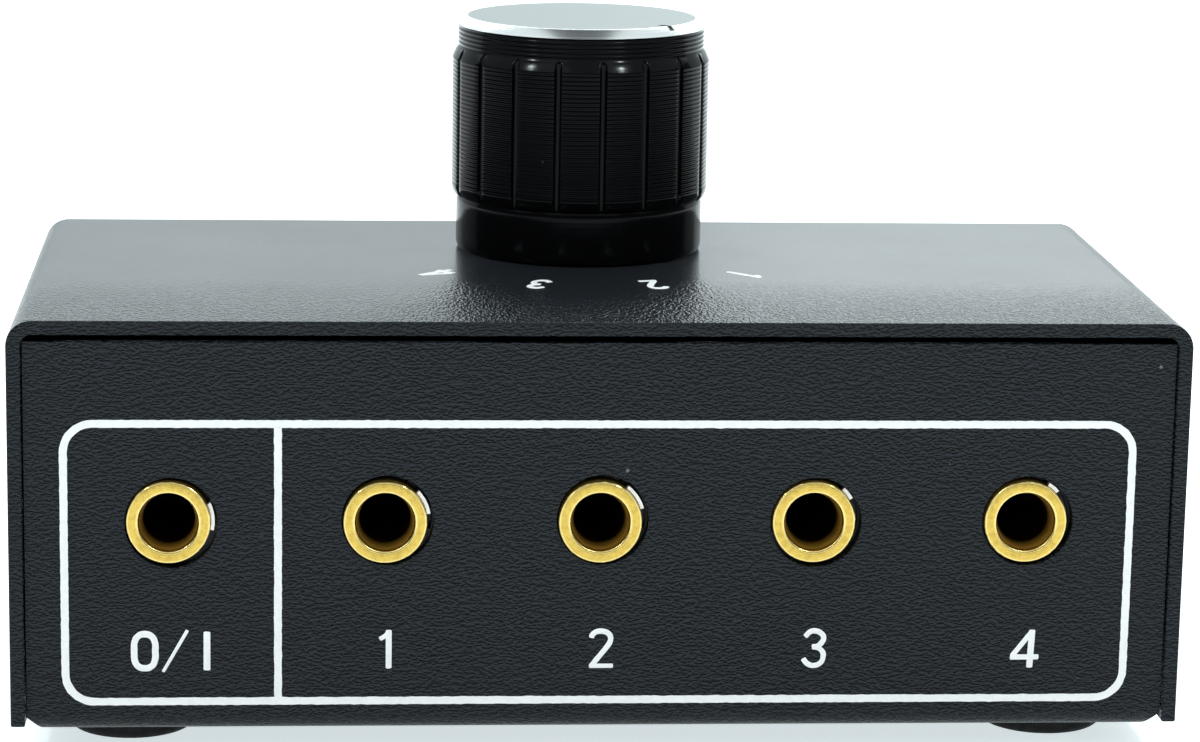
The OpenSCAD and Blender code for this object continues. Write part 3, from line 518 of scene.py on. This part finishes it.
paint = makeCasePaint(casePaint, corners("top_cover")[1].z)
ink = makeInk(whiteInk)
brass = makeBrass(brassFinish, bushMiddles["2"], socketPitch, bushBoxes["2"][0].y,
                  bushBoxes["2"][1].x - bushMiddles["2"].x)
knobBlack = makeKnobPaint(knobPaint, knobAxis)
spunTop = makeSpunMetal("spunTop", capFinish, knobAxis)
brightRim = makeSpunMetal("brightRim", rimFinish, knobAxis)
slotMaterials = {slot: makeGrained(grainLook, *finish) for slot, finish in grainFinishes.items()}
slotMaterials.update({"case_paint": paint, "brass": brass, "knob_black": knobBlack, "knob_silver": spunTop})
finger = makeFinger(fingerFinish, corners("socket_2_sleeve_contact")[0].y)
for part in frame["record"]["subparts"]:
    coats = nodes[part["node"]].data.materials
    coats.clear()
    coats.append(finger if part["node"].endswith("sleeve_contact") else slotMaterials[part["material_slot"]])
print("materials made")

coverPiece = {"sheet": 1.0, "bend": 1.8, "bendSteps": 12, "edge": 0.14, "edgeSteps": 3, "sharpAngle": 40.0,
              "seat": 0.02, "shank": 1.52, "runOut": 0.5, "drill": 6.0, "axisHole": 3.75, "lugOffset": 6.6,
              "lugHole": 2.0, "steps": 64}


def buildCover(values):
    low, high = corners("top_cover")
    mesher = bmesh.new()
    section = ((low.x, low.z), (low.x, high.z), (high.x, high.z), (high.x, low.z))
    line = drawWire(mesher, [(x, low.y, z) for x, z in section])
    drawn = bmesh.ops.extrude_edge_only(mesher, edges=line)
    bmesh.ops.translate(mesher, verts=pointsOf(drawn["geom"]), vec=(0.0, high.y - low.y, 0.0))
    folds = [edge for edge in mesher.edges if len(edge.link_faces) == 2]
    softenEdges(mesher, folds, values["bend"], values["bendSteps"])
    bmesh.ops.recalc_face_normals(mesher, faces=mesher.faces[:])
    bmesh.ops.solidify(mesher, geom=mesher.faces[:], thickness=values["sheet"])
    softenEdges(mesher, sharpEdges(mesher, values["sharpAngle"]), values["edge"], values["edgeSteps"])
    cover = makeObject("coverShell", mesher, [paint])
    for tool in coverTools(values):
        carve(cover, tool)
    shadeSmooth(cover, values["sharpAngle"])
    setDown(cover, "case", "case_paint", "top_cover")


def coverTools(values):
    # Cutters for the screws' cones, then for the round holes, then for the switch's lug.
    screwLow, screwHigh = corners("cover_screws")
    top = corners("top_cover")[1].z
    head = (screwHigh.z - screwLow.z) / 2 + values["seat"]
    row = screwHigh.y - head + values["seat"]
    rise = (screwLow.z + screwHigh.z) / 2
    shank, runOut, hole = values["shank"], values["runOut"], values["axisHole"]
    depth = head - shank + runOut
    cones, drills, lug = bmesh.new(), bmesh.new(), bmesh.new()
    for side in (-1, 1):
        turn = Matrix.Rotation(-side * math.pi / 2, 4, "Y")
        for y in (-row, row):
            aim = Matrix.Translation((side * screwHigh.x, y, rise)) @ turn
            sink = aim @ Matrix.Translation((0.0, 0.0, depth / 2 - runOut))
            bmesh.ops.create_cone(cones, cap_ends=True, segments=values["steps"], radius1=head + runOut,
                                  radius2=shank, depth=depth, matrix=sink)
            bmesh.ops.create_cone(drills, cap_ends=True, segments=values["steps"], radius1=shank,
                                  radius2=shank, depth=values["drill"], matrix=aim)
    spot = Matrix.Translation((knobAxis.x, knobAxis.y, top))
    bmesh.ops.create_cone(drills, cap_ends=True, segments=values["steps"], radius1=hole, radius2=hole,
                          depth=values["drill"], matrix=spot)
    aside = Matrix.Translation((-values["lugOffset"], 0.0, 0.0))
    size = Matrix.Diagonal((values["lugHole"], values["lugHole"], values["drill"], 1.0))
    bmesh.ops.create_cube(lug, size=1.0, matrix=spot @ aside @ size)
    tools = (("cones", cones), ("drills", drills), ("lug", lug))
    return [makeObject(name, mesher, []) for name, mesher in tools]


chassisPiece = {"edge": 0.08, "edgeSteps": 2, "sharpAngle": 35.0, "weld": 0.001, "flatAngle": 0.5}


def buildChassis(values):
    # The CAD sheet with the soft edges that thick paint gives it.
    mesher = bmesh.new()
    mesher.from_mesh(nodes["chassis"].data)
    bmesh.ops.scale(mesher, vec=(1 / mm, 1 / mm, 1 / mm), verts=mesher.verts[:])
    bmesh.ops.remove_doubles(mesher, verts=mesher.verts[:], dist=values["weld"])
    bmesh.ops.dissolve_limit(mesher, angle_limit=math.radians(values["flatAngle"]), verts=mesher.verts[:],
                             edges=mesher.edges[:], use_dissolve_boundaries=False)
    softenEdges(mesher, sharpEdges(mesher, values["sharpAngle"]), values["edge"], values["edgeSteps"])
    made = makeObject("chassisSheet", mesher, [paint])
    shadeSmooth(made, values["sharpAngle"])
    setDown(made, "case", "case_paint", "chassis")


buildCover(coverPiece)
buildChassis(chassisPiece)
print("case built")

bushPiece = {"bore": 1.8, "mouth": 2.1, "taper": 1.4, "edge": 0.1, "edgeSteps": 3, "steps": 96,
             "sharpAngle": 30.0}


def buildBushes(values):
    for name in socketNames:
        low, high = bushBoxes[name]
        outer, length = (high.x - low.x) / 2, high.y - low.y
        mesher = bmesh.new()
        drawWire(mesher, [(values["bore"], length, 0.0), (values["bore"], values["taper"], 0.0),
                          (values["mouth"], 0.0, 0.0), (outer, 0.0, 0.0), (outer, length, 0.0)], closed=True)
        turnProfile(mesher, (0, 1, 0), values["steps"])
        softenEdges(mesher, sharpEdges(mesher, values["sharpAngle"]), values["edge"], values["edgeSteps"])
        spot = (bushMiddles[name].x, low.y, bushMiddles[name].z)
        bmesh.ops.translate(mesher, verts=mesher.verts[:], vec=spot)
        bush = makeObject("bush_" + name, mesher, [brass])
        shadeSmooth(bush, values["sharpAngle"])
        setDown(bush, "case", "brass", "socket_%s_bush" % name)


buildBushes(bushPiece)
print("bushes built")

knobPiece = {"ridges": 18, "firstGroove": -43.8, "grip": 9.7, "skirt": 9.32, "neck": 9.22, "band": 9.27,
             "bore": 7.9, "seat": 8.3, "seatDepth": 0.9, "web": 0.9, "skirtHeight": 3.85, "taper": 0.95,
             "bevel": 0.85, "bandHeight": 1.65, "grooveMiddle": 9.58, "grooveRadius": 0.28, "lip": 0.34,
             "lipShare": 0.99, "lipDrop": 0.04, "grooveSteps": 12, "ridgeSteps": 8, "gripLines": 30,
             "gripSteps": 4, "gripCut": 0.045, "bandLines": 5, "bandSteps": 6, "bandCut": 0.06,
             "curveCuts": 7, "skirtCuts": 23, "skirtPower": 12, "shoulder": (0.85, 0.15),
             "shoulderPower": 4, "sharpAngle": 50.0}


def shapeLine(mesher, edge, cuts, radiusAt):
    # Divides one upright line of the profile, and sets each new point's radius by its share of the way up.
    foot, head = sorted(point.co.z for point in edge.verts)
    made = bmesh.ops.subdivide_edges(mesher, edges=[edge], cuts=cuts)
    for point in pointsOf(made["geom_inner"]):
        point.co.x = radiusAt((point.co.z - foot) / (head - foot))


def ripple(lines, share):
    return 0.5 - 0.5 * math.cos(math.tau * lines * share)


def buildKnob(values):
    low, high = corners("knob_shell")
    height = high.z - low.z
    grip, neck, band = values["grip"], values["neck"], values["band"]
    gripLow = values["skirtHeight"] + values["taper"]
    gripHigh = height - values["bandHeight"] - values["bevel"]
    bandLow, seatLow = height - values["bandHeight"], height - values["seatDepth"]
    webLow = seatLow - values["web"]
    mesher = bmesh.new()
    profile = [(0.0, webLow), (values["bore"], webLow), (values["bore"], 0.0), (neck, 0.0),
               (neck, values["skirtHeight"]), (grip, gripLow), (grip, gripHigh), (band, bandLow),
               (band, height), (values["seat"], height), (values["seat"], seatLow), (0.0, seatLow)]
    lines = drawWire(mesher, [(radius, 0.0, z) for radius, z in profile])
    bulge = values["skirt"] - neck
    straight, curved = values["shoulder"]
    shapeLine(mesher, lines[3], values["skirtCuts"],
              lambda share: neck + bulge * (1 - (2 * share - 1) ** values["skirtPower"]))
    shapeLine(mesher, lines[4], values["curveCuts"],
              lambda share: neck + (grip - neck) * math.sqrt(1 - (1 - share) ** 2))
    shapeLine(mesher, lines[5], values["gripLines"] * values["gripSteps"] - 1,
              lambda share: grip - values["gripCut"] * ripple(values["gripLines"], share))
    shapeLine(mesher, lines[6], values["curveCuts"],
              lambda share: grip - (grip - band) * (straight * share
                                                    + curved * share ** values["shoulderPower"]))
    shapeLine(mesher, lines[7], values["bandLines"] * values["bandSteps"] - 1,
              lambda share: band - values["bandCut"] * ripple(values["bandLines"], share))
    turnSectors(mesher, values, bandLow)
    spot = Matrix.Translation((knobAxis.x, knobAxis.y, low.z))
    turn = Matrix.Rotation(math.radians(values["firstGroove"]), 4, "Z")
    bmesh.ops.transform(mesher, matrix=spot @ turn, verts=mesher.verts[:])
    knob = makeObject("knobBody", mesher, [knobBlack])
    shadeSmooth(knob, values["sharpAngle"], keepFlat=False)
    setDown(knob, "selector", "knob_black", "knob_shell")


def turnSectors(mesher, values, bandLow):
    # Turns the profile over one groove and one ridge, sinks the groove, and repeats them round the knob.
    sector = math.tau / values["ridges"]
    groove = 2 * values["lip"] / values["grip"]
    spinning = {"cent": (0, 0, 0), "axis": (0, 0, 1), "dvec": (0, 0, 0), "use_merge": False}
    back = Matrix.Rotation(-groove / 2, 3, "Z")
    bmesh.ops.rotate(mesher, cent=(0, 0, 0), matrix=back, verts=mesher.verts[:])
    first = bmesh.ops.spin(mesher, geom=mesher.verts[:] + mesher.edges[:], angle=groove,
                           steps=values["grooveSteps"], use_duplicate=False, **spinning)
    bmesh.ops.spin(mesher, geom=first["geom_last"], angle=sector - groove, steps=values["ridgeSteps"],
                   use_duplicate=False, **spinning)
    within = values["lip"] * values["lipShare"]
    for point in mesher.verts:
        flat = point.co.xy
        if flat.length > values["bore"] and values["skirtHeight"] < point.co.z < bandLow:
            offset = abs(flat.length * math.atan2(flat.y, flat.x))
            if offset < within:
                reach = min(flat.length, grooveFloor(offset, values))
                point.co.xy = flat * (reach / flat.length)
    everything = mesher.verts[:] + mesher.edges[:] + mesher.faces[:]
    bmesh.ops.spin(mesher, geom=everything, angle=math.tau - sector, steps=values["ridges"] - 1,
                   use_duplicate=True, **spinning)
    closeSeams(mesher)


def grooveFloor(offset, values):
    # Radius of the groove's round floor, or of its soft lip further out.
    inside = values["grooveRadius"] ** 2 - offset ** 2
    if inside > 0.0:
        return values["grooveMiddle"] - math.sqrt(inside)
    return values["grip"] - values["lipDrop"]


capPiece = {"rimBevel": 0.65, "edge": 0.05, "edgeSteps": 3, "spigot": 8.28, "spigotDepth": 0.88, "steps": 192,
            "notchAngle": -45.0, "notchWidth": 0.5, "notchDepth": 0.3, "notchLength": 1.6, "notchSpare": 1.0,
            "sharpAngle": 30.0}


def buildCap(values):
    top, outer = capHigh.z, (capHigh.x - capLow.x) / 2
    flat, seat = outer - values["rimBevel"], top - values["rimBevel"]
    mesher = bmesh.new()
    profile = [(0.0, seat - values["spigotDepth"]), (values["spigot"], seat - values["spigotDepth"]),
               (values["spigot"], seat), (outer, seat), (flat, top), (0.0, top)]
    drawWire(mesher, [(radius, 0.0, z) for radius, z in profile])
    turnProfile(mesher, (0, 0, 1), values["steps"])
    softenEdges(mesher, sharpEdges(mesher, values["sharpAngle"]), values["edge"], values["edgeSteps"])
    bmesh.ops.translate(mesher, verts=mesher.verts[:], vec=(knobAxis.x, knobAxis.y, 0.0))
    for face in mesher.faces:
        spot = face.calc_center_median() - knobAxis
        face.material_index = 1 if spot.xy.length > flat - values["edge"] else 0
    cap = makeObject("knobDisc", mesher, [spunTop, brightRim])
    # The cutter stands out past the rim and above the top.
    reach, tall = values["notchLength"] + values["notchSpare"], values["notchDepth"] + values["notchSpare"]
    tool = bmesh.new()
    aim = Matrix.Translation(knobAxis) @ Matrix.Rotation(math.radians(values["notchAngle"]), 4, "Z")
    shift = Matrix.Translation((outer - values["notchLength"] + reach / 2, 0.0,
                                top - values["notchDepth"] + tall / 2))
    size = Matrix.Diagonal((reach, values["notchWidth"], tall, 1.0))
    bmesh.ops.create_cube(tool, size=1.0, matrix=aim @ shift @ size)
    carve(cap, makeObject("notchTool", tool, [spunTop]))
    shadeSmooth(cap, values["sharpAngle"])
    setDown(cap, "selector", "knob_silver", "knob_cap")


buildKnob(knobPiece)
buildCap(capPiece)
print("knob built")

framePrint = {"left": -37.19, "right": 37.08, "top": 24.075, "bottom": 4.27, "divider": -22.5, "stroke": 0.54,
              "corner": 2.0, "cornerSteps": 10, "pitch": 0.25, "longFrom": 1.0, "waver": 0.04,
              "waverScale": 2.3, "thick": 0.025, "sharpAngle": 30.0}


def waver(mesher, values):
    # Lets the edges of a flat print wander a little, as a screen print's do.
    apart = Vector((40.0, 0.0, 0.0))  # keeps the two drifts unlike
    for point in mesher.verts:
        spot = point.co * values["waverScale"]
        drift = Vector((noise.noise(spot), 0.0, noise.noise(spot + apart)))
        point.co += drift * values["waver"]


def divideLong(mesher, values):
    # Cuts the long edges into steps of about the pitch, all edges of one length together.
    near = 0.02
    lengths = [edge.calc_length() for edge in mesher.edges]
    for length in sorted({round(length, 2) for length in lengths if length > values["longFrom"]}):
        run = [edge for edge in mesher.edges if abs(edge.calc_length() - length) < near]
        if run:
            bmesh.ops.subdivide_edges(mesher, edges=run, cuts=int(length / values["pitch"]),
                                      use_grid_fill=True)


def layInk(name, mesher, values, face):
    # Gives a flat print its thickness on the panel.
    waver(mesher, values)
    raised = bmesh.ops.extrude_face_region(mesher, geom=mesher.faces[:], use_keep_orig=True)
    bmesh.ops.translate(mesher, verts=pointsOf(raised["geom"]), vec=(0.0, -values["thick"], 0.0))
    bmesh.ops.translate(mesher, verts=mesher.verts[:], vec=(0.0, face, 0.0))
    bmesh.ops.recalc_face_normals(mesher, faces=mesher.faces[:])
    made = makeObject(name, mesher, [ink])
    shadeSmooth(made, values["sharpAngle"], keepFlat=False)
    setDown(made, "case", "case_paint")


def printFrame(values):
    face = corners("chassis")[0].y
    half = values["stroke"] / 2
    left, right = values["left"] - half, values["right"] + half
    bottom, top = values["bottom"] - half, values["top"] + half
    mesher = bmesh.new()
    outline = ((left, bottom), (right, bottom), (right, top), (left, top))
    spots = [mesher.verts.new((x, 0.0, z)) for x, z in outline]
    mesher.faces.new(spots)
    bmesh.ops.bevel(mesher, geom=spots, offset=values["corner"] + half, offset_type="OFFSET",
                    affect="VERTICES", segments=values["cornerSteps"], profile=0.5, material=-1)
    bmesh.ops.inset_region(mesher, faces=mesher.faces[:], thickness=values["stroke"], use_even_offset=True,
                           use_boundary=True)
    middle = [made for made in mesher.faces if len(made.verts) > 4]
    bmesh.ops.delete(mesher, geom=middle, context="FACES")
    divideLong(mesher, values)
    layInk("inkFrame", mesher, values, face)
    mesher = bmesh.new()
    tall = top - bottom - 2 * values["stroke"]
    spot = Matrix.Translation((values["divider"], 0.0, (top + bottom) / 2))
    upright = Matrix.Rotation(math.pi / 2, 4, "X")
    size = Matrix.Diagonal((values["stroke"], tall, 1.0, 1.0))
    bmesh.ops.create_grid(mesher, x_segments=1, y_segments=int(tall / values["pitch"]), size=0.5,
                          matrix=spot @ upright @ size)
    layInk("inkDivider", mesher, values, face)


# Middle lines of each figure, from the middle of its foot: points, width, and how the line runs.
figureLines = {
    "0": [([(0.0, 0.25), (0.42, 0.37), (0.66, 0.77), (0.7, 1.43), (0.66, 2.09), (0.42, 2.49), (0.0, 2.61),
            (-0.42, 2.49), (-0.66, 2.09), (-0.7, 1.43), (-0.66, 0.77), (-0.42, 0.37)], 0.47, "closed")],
    "slash": [([(-0.82, -0.02), (0.82, 2.87)], 0.24, "straight")],
    "I": [([(0.0, 0.05), (0.0, 2.73)], 0.48, "straight")],
    "1": [([(0.26, 0.0), (0.26, 2.68)], 0.43, "straight"),
          ([(0.28, 2.56), (-0.02, 2.24), (-0.36, 2.04)], 0.33, "smooth")],
    "2": [([(-0.66, 2.12), (-0.6, 2.33), (-0.42, 2.5), (-0.15, 2.58), (0.1, 2.58), (0.38, 2.5), (0.57, 2.32),
            (0.64, 2.08), (0.6, 1.85), (0.45, 1.58), (-0.15, 0.8), (-0.62, 0.2)], 0.39, "smooth"),
          ([(-0.8, 0.17), (0.83, 0.17)], 0.34, "straight")],
    "3": [([(-0.6, 2.2), (-0.32, 2.51), (0.06, 2.61), (0.45, 2.47), (0.66, 2.13), (0.53, 1.79), (0.23, 1.53),
            (-0.13, 1.5)], 0.39, "smooth"),
          ([(-0.1, 1.51), (0.32, 1.4), (0.6, 1.15), (0.66, 0.81), (0.49, 0.38), (0.06, 0.19), (-0.32, 0.26),
            (-0.59, 0.51), (-0.7, 0.7)], 0.39, "smooth")],
    "4": [([(0.51, 2.66), (0.4, 0.0)], 0.48, "straight"), ([(0.46, 2.5), (-0.84, 0.8)], 0.38, "straight"),
          ([(-0.95, 0.75), (1.02, 0.75)], 0.4, "straight")],
}
figurePrint = {"thick": 0.025, "thickStep": 0.003, "endShare": 0.6, "endReach": 0.05, "steps": 6,
               "roundSteps": 2, "waver": 0.018, "waverScale": 2.3, "sharpAngle": 40.0,
               "panelScale": (1.04, 1.04), "panelBold": 0.93,
               "panel": {"0": (-31.71, 6.41), "slash": (-29.605, 6.42), "I": (-27.415, 6.45),
                         "1": (-15.08, 6.59), "2": (0.03, 6.55), "3": (15.02, 6.5), "4": (29.98, 6.48)},
               "topScale": (0.82, 1.2), "topBold": 1.4, "topRadius": 16.06, "topMiddle": (0.34, -0.18),
               "topDrop": 1.425,
               "topAngles": {"4": -45.0, "3": -15.0, "2": 15.0, "1": 45.0}}


def drawStroke(points, width, kind, values, thick):
    # One line of ink: a curve with a round section that is then pressed flat.
    line = bpy.data.curves.new("inkLine", "CURVE")
    line.dimensions = "3D"
    line.resolution_u = values["steps"]
    line.bevel_depth = width / 2
    line.bevel_resolution = values["roundSteps"]
    line.use_fill_caps = True
    run = line.splines.new("BEZIER")
    spots = [Vector((x, 0.0, z)) for x, z in points]
    radii = [1.0] * len(spots)
    if kind == "closed":
        run.use_cyclic_u = True
    else:
        first = spots[0] + (spots[1] - spots[0]).normalized() * values["endReach"]
        last = spots[-1] + (spots[-2] - spots[-1]).normalized() * values["endReach"]
        spots = [spots[0], first] + spots[1:-1] + [last, spots[-1]]
        radii = [values["endShare"]] + [1.0] * (len(spots) - 2) + [values["endShare"]]
    run.bezier_points.add(len(spots) - 1)
    for knot, spot, radius in zip(run.bezier_points, spots, radii):
        knot.co = spot
        knot.radius = radius
        knot.handle_left_type = knot.handle_right_type = "VECTOR" if kind == "straight" else "AUTO"
    holder = bpy.data.objects.new("inkLine", line)
    scene.collection.objects.link(holder)
    bpy.context.view_layer.update()
    shaped = holder.evaluated_get(bpy.context.evaluated_depsgraph_get())
    mesh = bpy.data.meshes.new_from_object(shaped)
    bpy.data.objects.remove(holder)
    bpy.data.curves.remove(line)
    mesher = bmesh.new()
    mesher.from_mesh(mesh)
    bpy.data.meshes.remove(mesh)
    bmesh.ops.scale(mesher, vec=(1.0, thick / (width / 2), 1.0), verts=mesher.verts[:])
    closeSeams(mesher)
    return mesher


def printFigure(label, name, values, aim, bold):
    # The strokes are joined while they are large, and the figure is then scaled and laid in its place.
    joined = None
    for count, (points, width, kind) in enumerate(figureLines[name]):
        thick = values["thick"] - count * values["thickStep"]
        mesher = drawStroke(points, width * bold, kind, values, thick)
        waver(mesher, values)
        bmesh.ops.scale(mesher, vec=(1 / mm, 1 / mm, 1 / mm), verts=mesher.verts[:])
        stroke = makeObject("inkStroke", mesher, [ink])
        if joined:
            carve(joined, stroke, "UNION")
        else:
            joined = stroke
    mesher = bmesh.new()
    mesher.from_mesh(joined.data)
    bpy.data.objects.remove(joined)
    bmesh.ops.transform(mesher, matrix=aim, verts=mesher.verts[:])
    made = makeObject(label, mesher, [ink])
    shadeSmooth(made, values["sharpAngle"], keepFlat=False)
    setDown(made, "case", "case_paint")


def printFigures(values):
    face, top = corners("chassis")[0].y, corners("top_cover")[1].z
    wide, tall = values["panelScale"]
    size = Matrix.Diagonal((wide, 1.0, tall, 1.0))
    for name, (x, z) in values["panel"].items():
        aim = Matrix.Translation((x, face, z)) @ size
        printFigure("inkPanel_" + name, name, values, aim, values["panelBold"])
    wide, tall = values["topScale"]
    size = Matrix.Diagonal((wide, 1.0, tall, 1.0))
    middle = knobAxis + Vector(values["topMiddle"] + (top,))
    # Each figure lies face up, with its head away from the knob.
    lay = Matrix(((-1, 0, 0, 0), (0, 0, -1, -values["topRadius"]), (0, -1, 0, 0), (0, 0, 0, 1)))
    drop = Matrix.Translation((0.0, 0.0, -values["topDrop"]))
    for name, angle in values["topAngles"].items():
        turn = Matrix.Rotation(math.radians(angle), 4, "Z")
        aim = Matrix.Translation(middle) @ turn @ lay @ size @ drop
        printFigure("inkTop_" + name, name, values, aim, values["topBold"])


printFrame(framePrint)
printFigures(figurePrint)
print("prints laid")

stageLook = {"floor": (0.87, 0.88, 0.88), "floorGlow": 0.72, "wall": (0.8, 0.87, 0.88), "wallGlow": 0.85,
             "glow": (0.88, 0.975, 1.0), "rough": 0.9, "reach": 6.0, "wallBack": 1.4, "wallTall": 1.8}


def makeStagePaint(name, values, color, glow):
    # A pale matt surface; the glow is for what the camera and reflections see of it.
    settings = {"Base Color": color + (1.0,), "Roughness": values["rough"], "Specular IOR Level": 0.0,
                "Emission Color": values["glow"] + (1.0,)}
    made, tree, shader = newMaterial(name, settings)[:3]
    rays = tree.nodes.new("ShaderNodeLightPath").outputs
    seen = compute(tree, "MAXIMUM", rays["Is Camera Ray"], rays["Is Glossy Ray"])
    shown = compute(tree, "MAXIMUM", seen, rays["Is Transmission Ray"])
    tree.links.new(compute(tree, "MULTIPLY", shown, glow), shader.inputs["Emission Strength"])
    return made


def layStage(values):
    floor = makeStagePaint("stageFloor", values, values["floor"], values["floorGlow"])
    wall = makeStagePaint("stageWall", values, values["wall"], values["wallGlow"])
    reach, tall = values["reach"] / mm, values["wallTall"] / mm
    spot = Matrix.Translation((0.0, values["wallBack"] / mm, values["wallTall"] / 2 / mm))
    upright = Matrix.Rotation(math.pi / 2, 4, "X")
    sheets = (("floor", floor, Matrix.Scale(reach, 4)),
              ("backdrop", wall, spot @ upright @ Matrix.Diagonal((reach, tall, 1.0, 1.0))))
    for name, material, aim in sheets:
        mesher = bmesh.new()
        bmesh.ops.create_grid(mesher, x_segments=1, y_segments=1, size=0.5, matrix=aim)
        makeObject(name, mesher, [material])


lampPlan = {
    "overheadLeft": {"spot": (-0.80, -0.05, 0.62), "target": (-0.80, -0.05, 0.0), "size": (1.24, 1.5),
                     "glow": 0.93},
    "overheadRight": {"spot": (0.80, -0.05, 0.62), "target": (0.80, -0.05, 0.0), "size": (1.24, 1.5),
                      "glow": 0.93},
    "sparkLeft": {"spot": (-0.423, -0.284, 0.442), "target": (0.0, 0.009, 0.045), "size": (0.034, 0.034),
                  "glow": 260.0},
    "sparkRight": {"spot": (0.312, -0.388, 0.454), "target": (0.0, 0.009, 0.045), "size": (0.034, 0.034),
                   "glow": 260.0},
    "backLeft": {"spot": (-0.235, 0.85, 0.55), "target": (-0.235, 0.0, 0.55), "size": (0.67, 0.72),
                 "glow": 1.0},
    "backRight": {"spot": (0.45, 0.85, 0.57), "target": (0.45, 0.0, 0.57), "size": (0.7, 0.76), "glow": 2.2},
    "highBack": {"spot": (0.0, 0.42, 0.62), "target": (0.0, 0.0, 0.03), "size": (0.9, 0.06), "glow": 10.0},
    "frontAbove": {"spot": (0.0, -0.75, 0.75), "target": (0.0, -0.02, 0.0), "size": (1.4, 0.7), "glow": 0.9},
}
lampTint = (0.9, 0.98, 1.0)


def hangLamps(plan):
    # The glow is a lamp's own brightness; its power follows from its size.
    for name, values in plan.items():
        data = bpy.data.lights.new(name, "AREA")
        data.shape = "RECTANGLE"
        data.size, data.size_y = values["size"]
        data.energy = values["glow"] * math.pi * data.size * data.size_y
        data.color = lampTint
        made = bpy.data.objects.new(name, data)
        ahead = Vector(values["target"]) - Vector(values["spot"])
        turn = ahead.to_track_quat("-Z", "Y").to_matrix().to_4x4()
        made.matrix_world = Matrix.Translation(values["spot"]) @ turn
        scene.collection.objects.link(made)


worldLight = {"color": (0.88, 0.96, 1.0), "strength": 0.12}


def lightWorld(values):
    world = bpy.data.worlds.new("studio")
    scene.world = world
    world.use_nodes = True
    sky = world.node_tree.nodes["Background"]
    sky.inputs[0].default_value = values["color"] + (1.0,)
    sky.inputs[1].default_value = values["strength"]


layStage(stageLook)
hangLamps(lampPlan)
lightWorld(worldLight)
scene.view_settings.view_transform = "Standard"
print("stage lit")
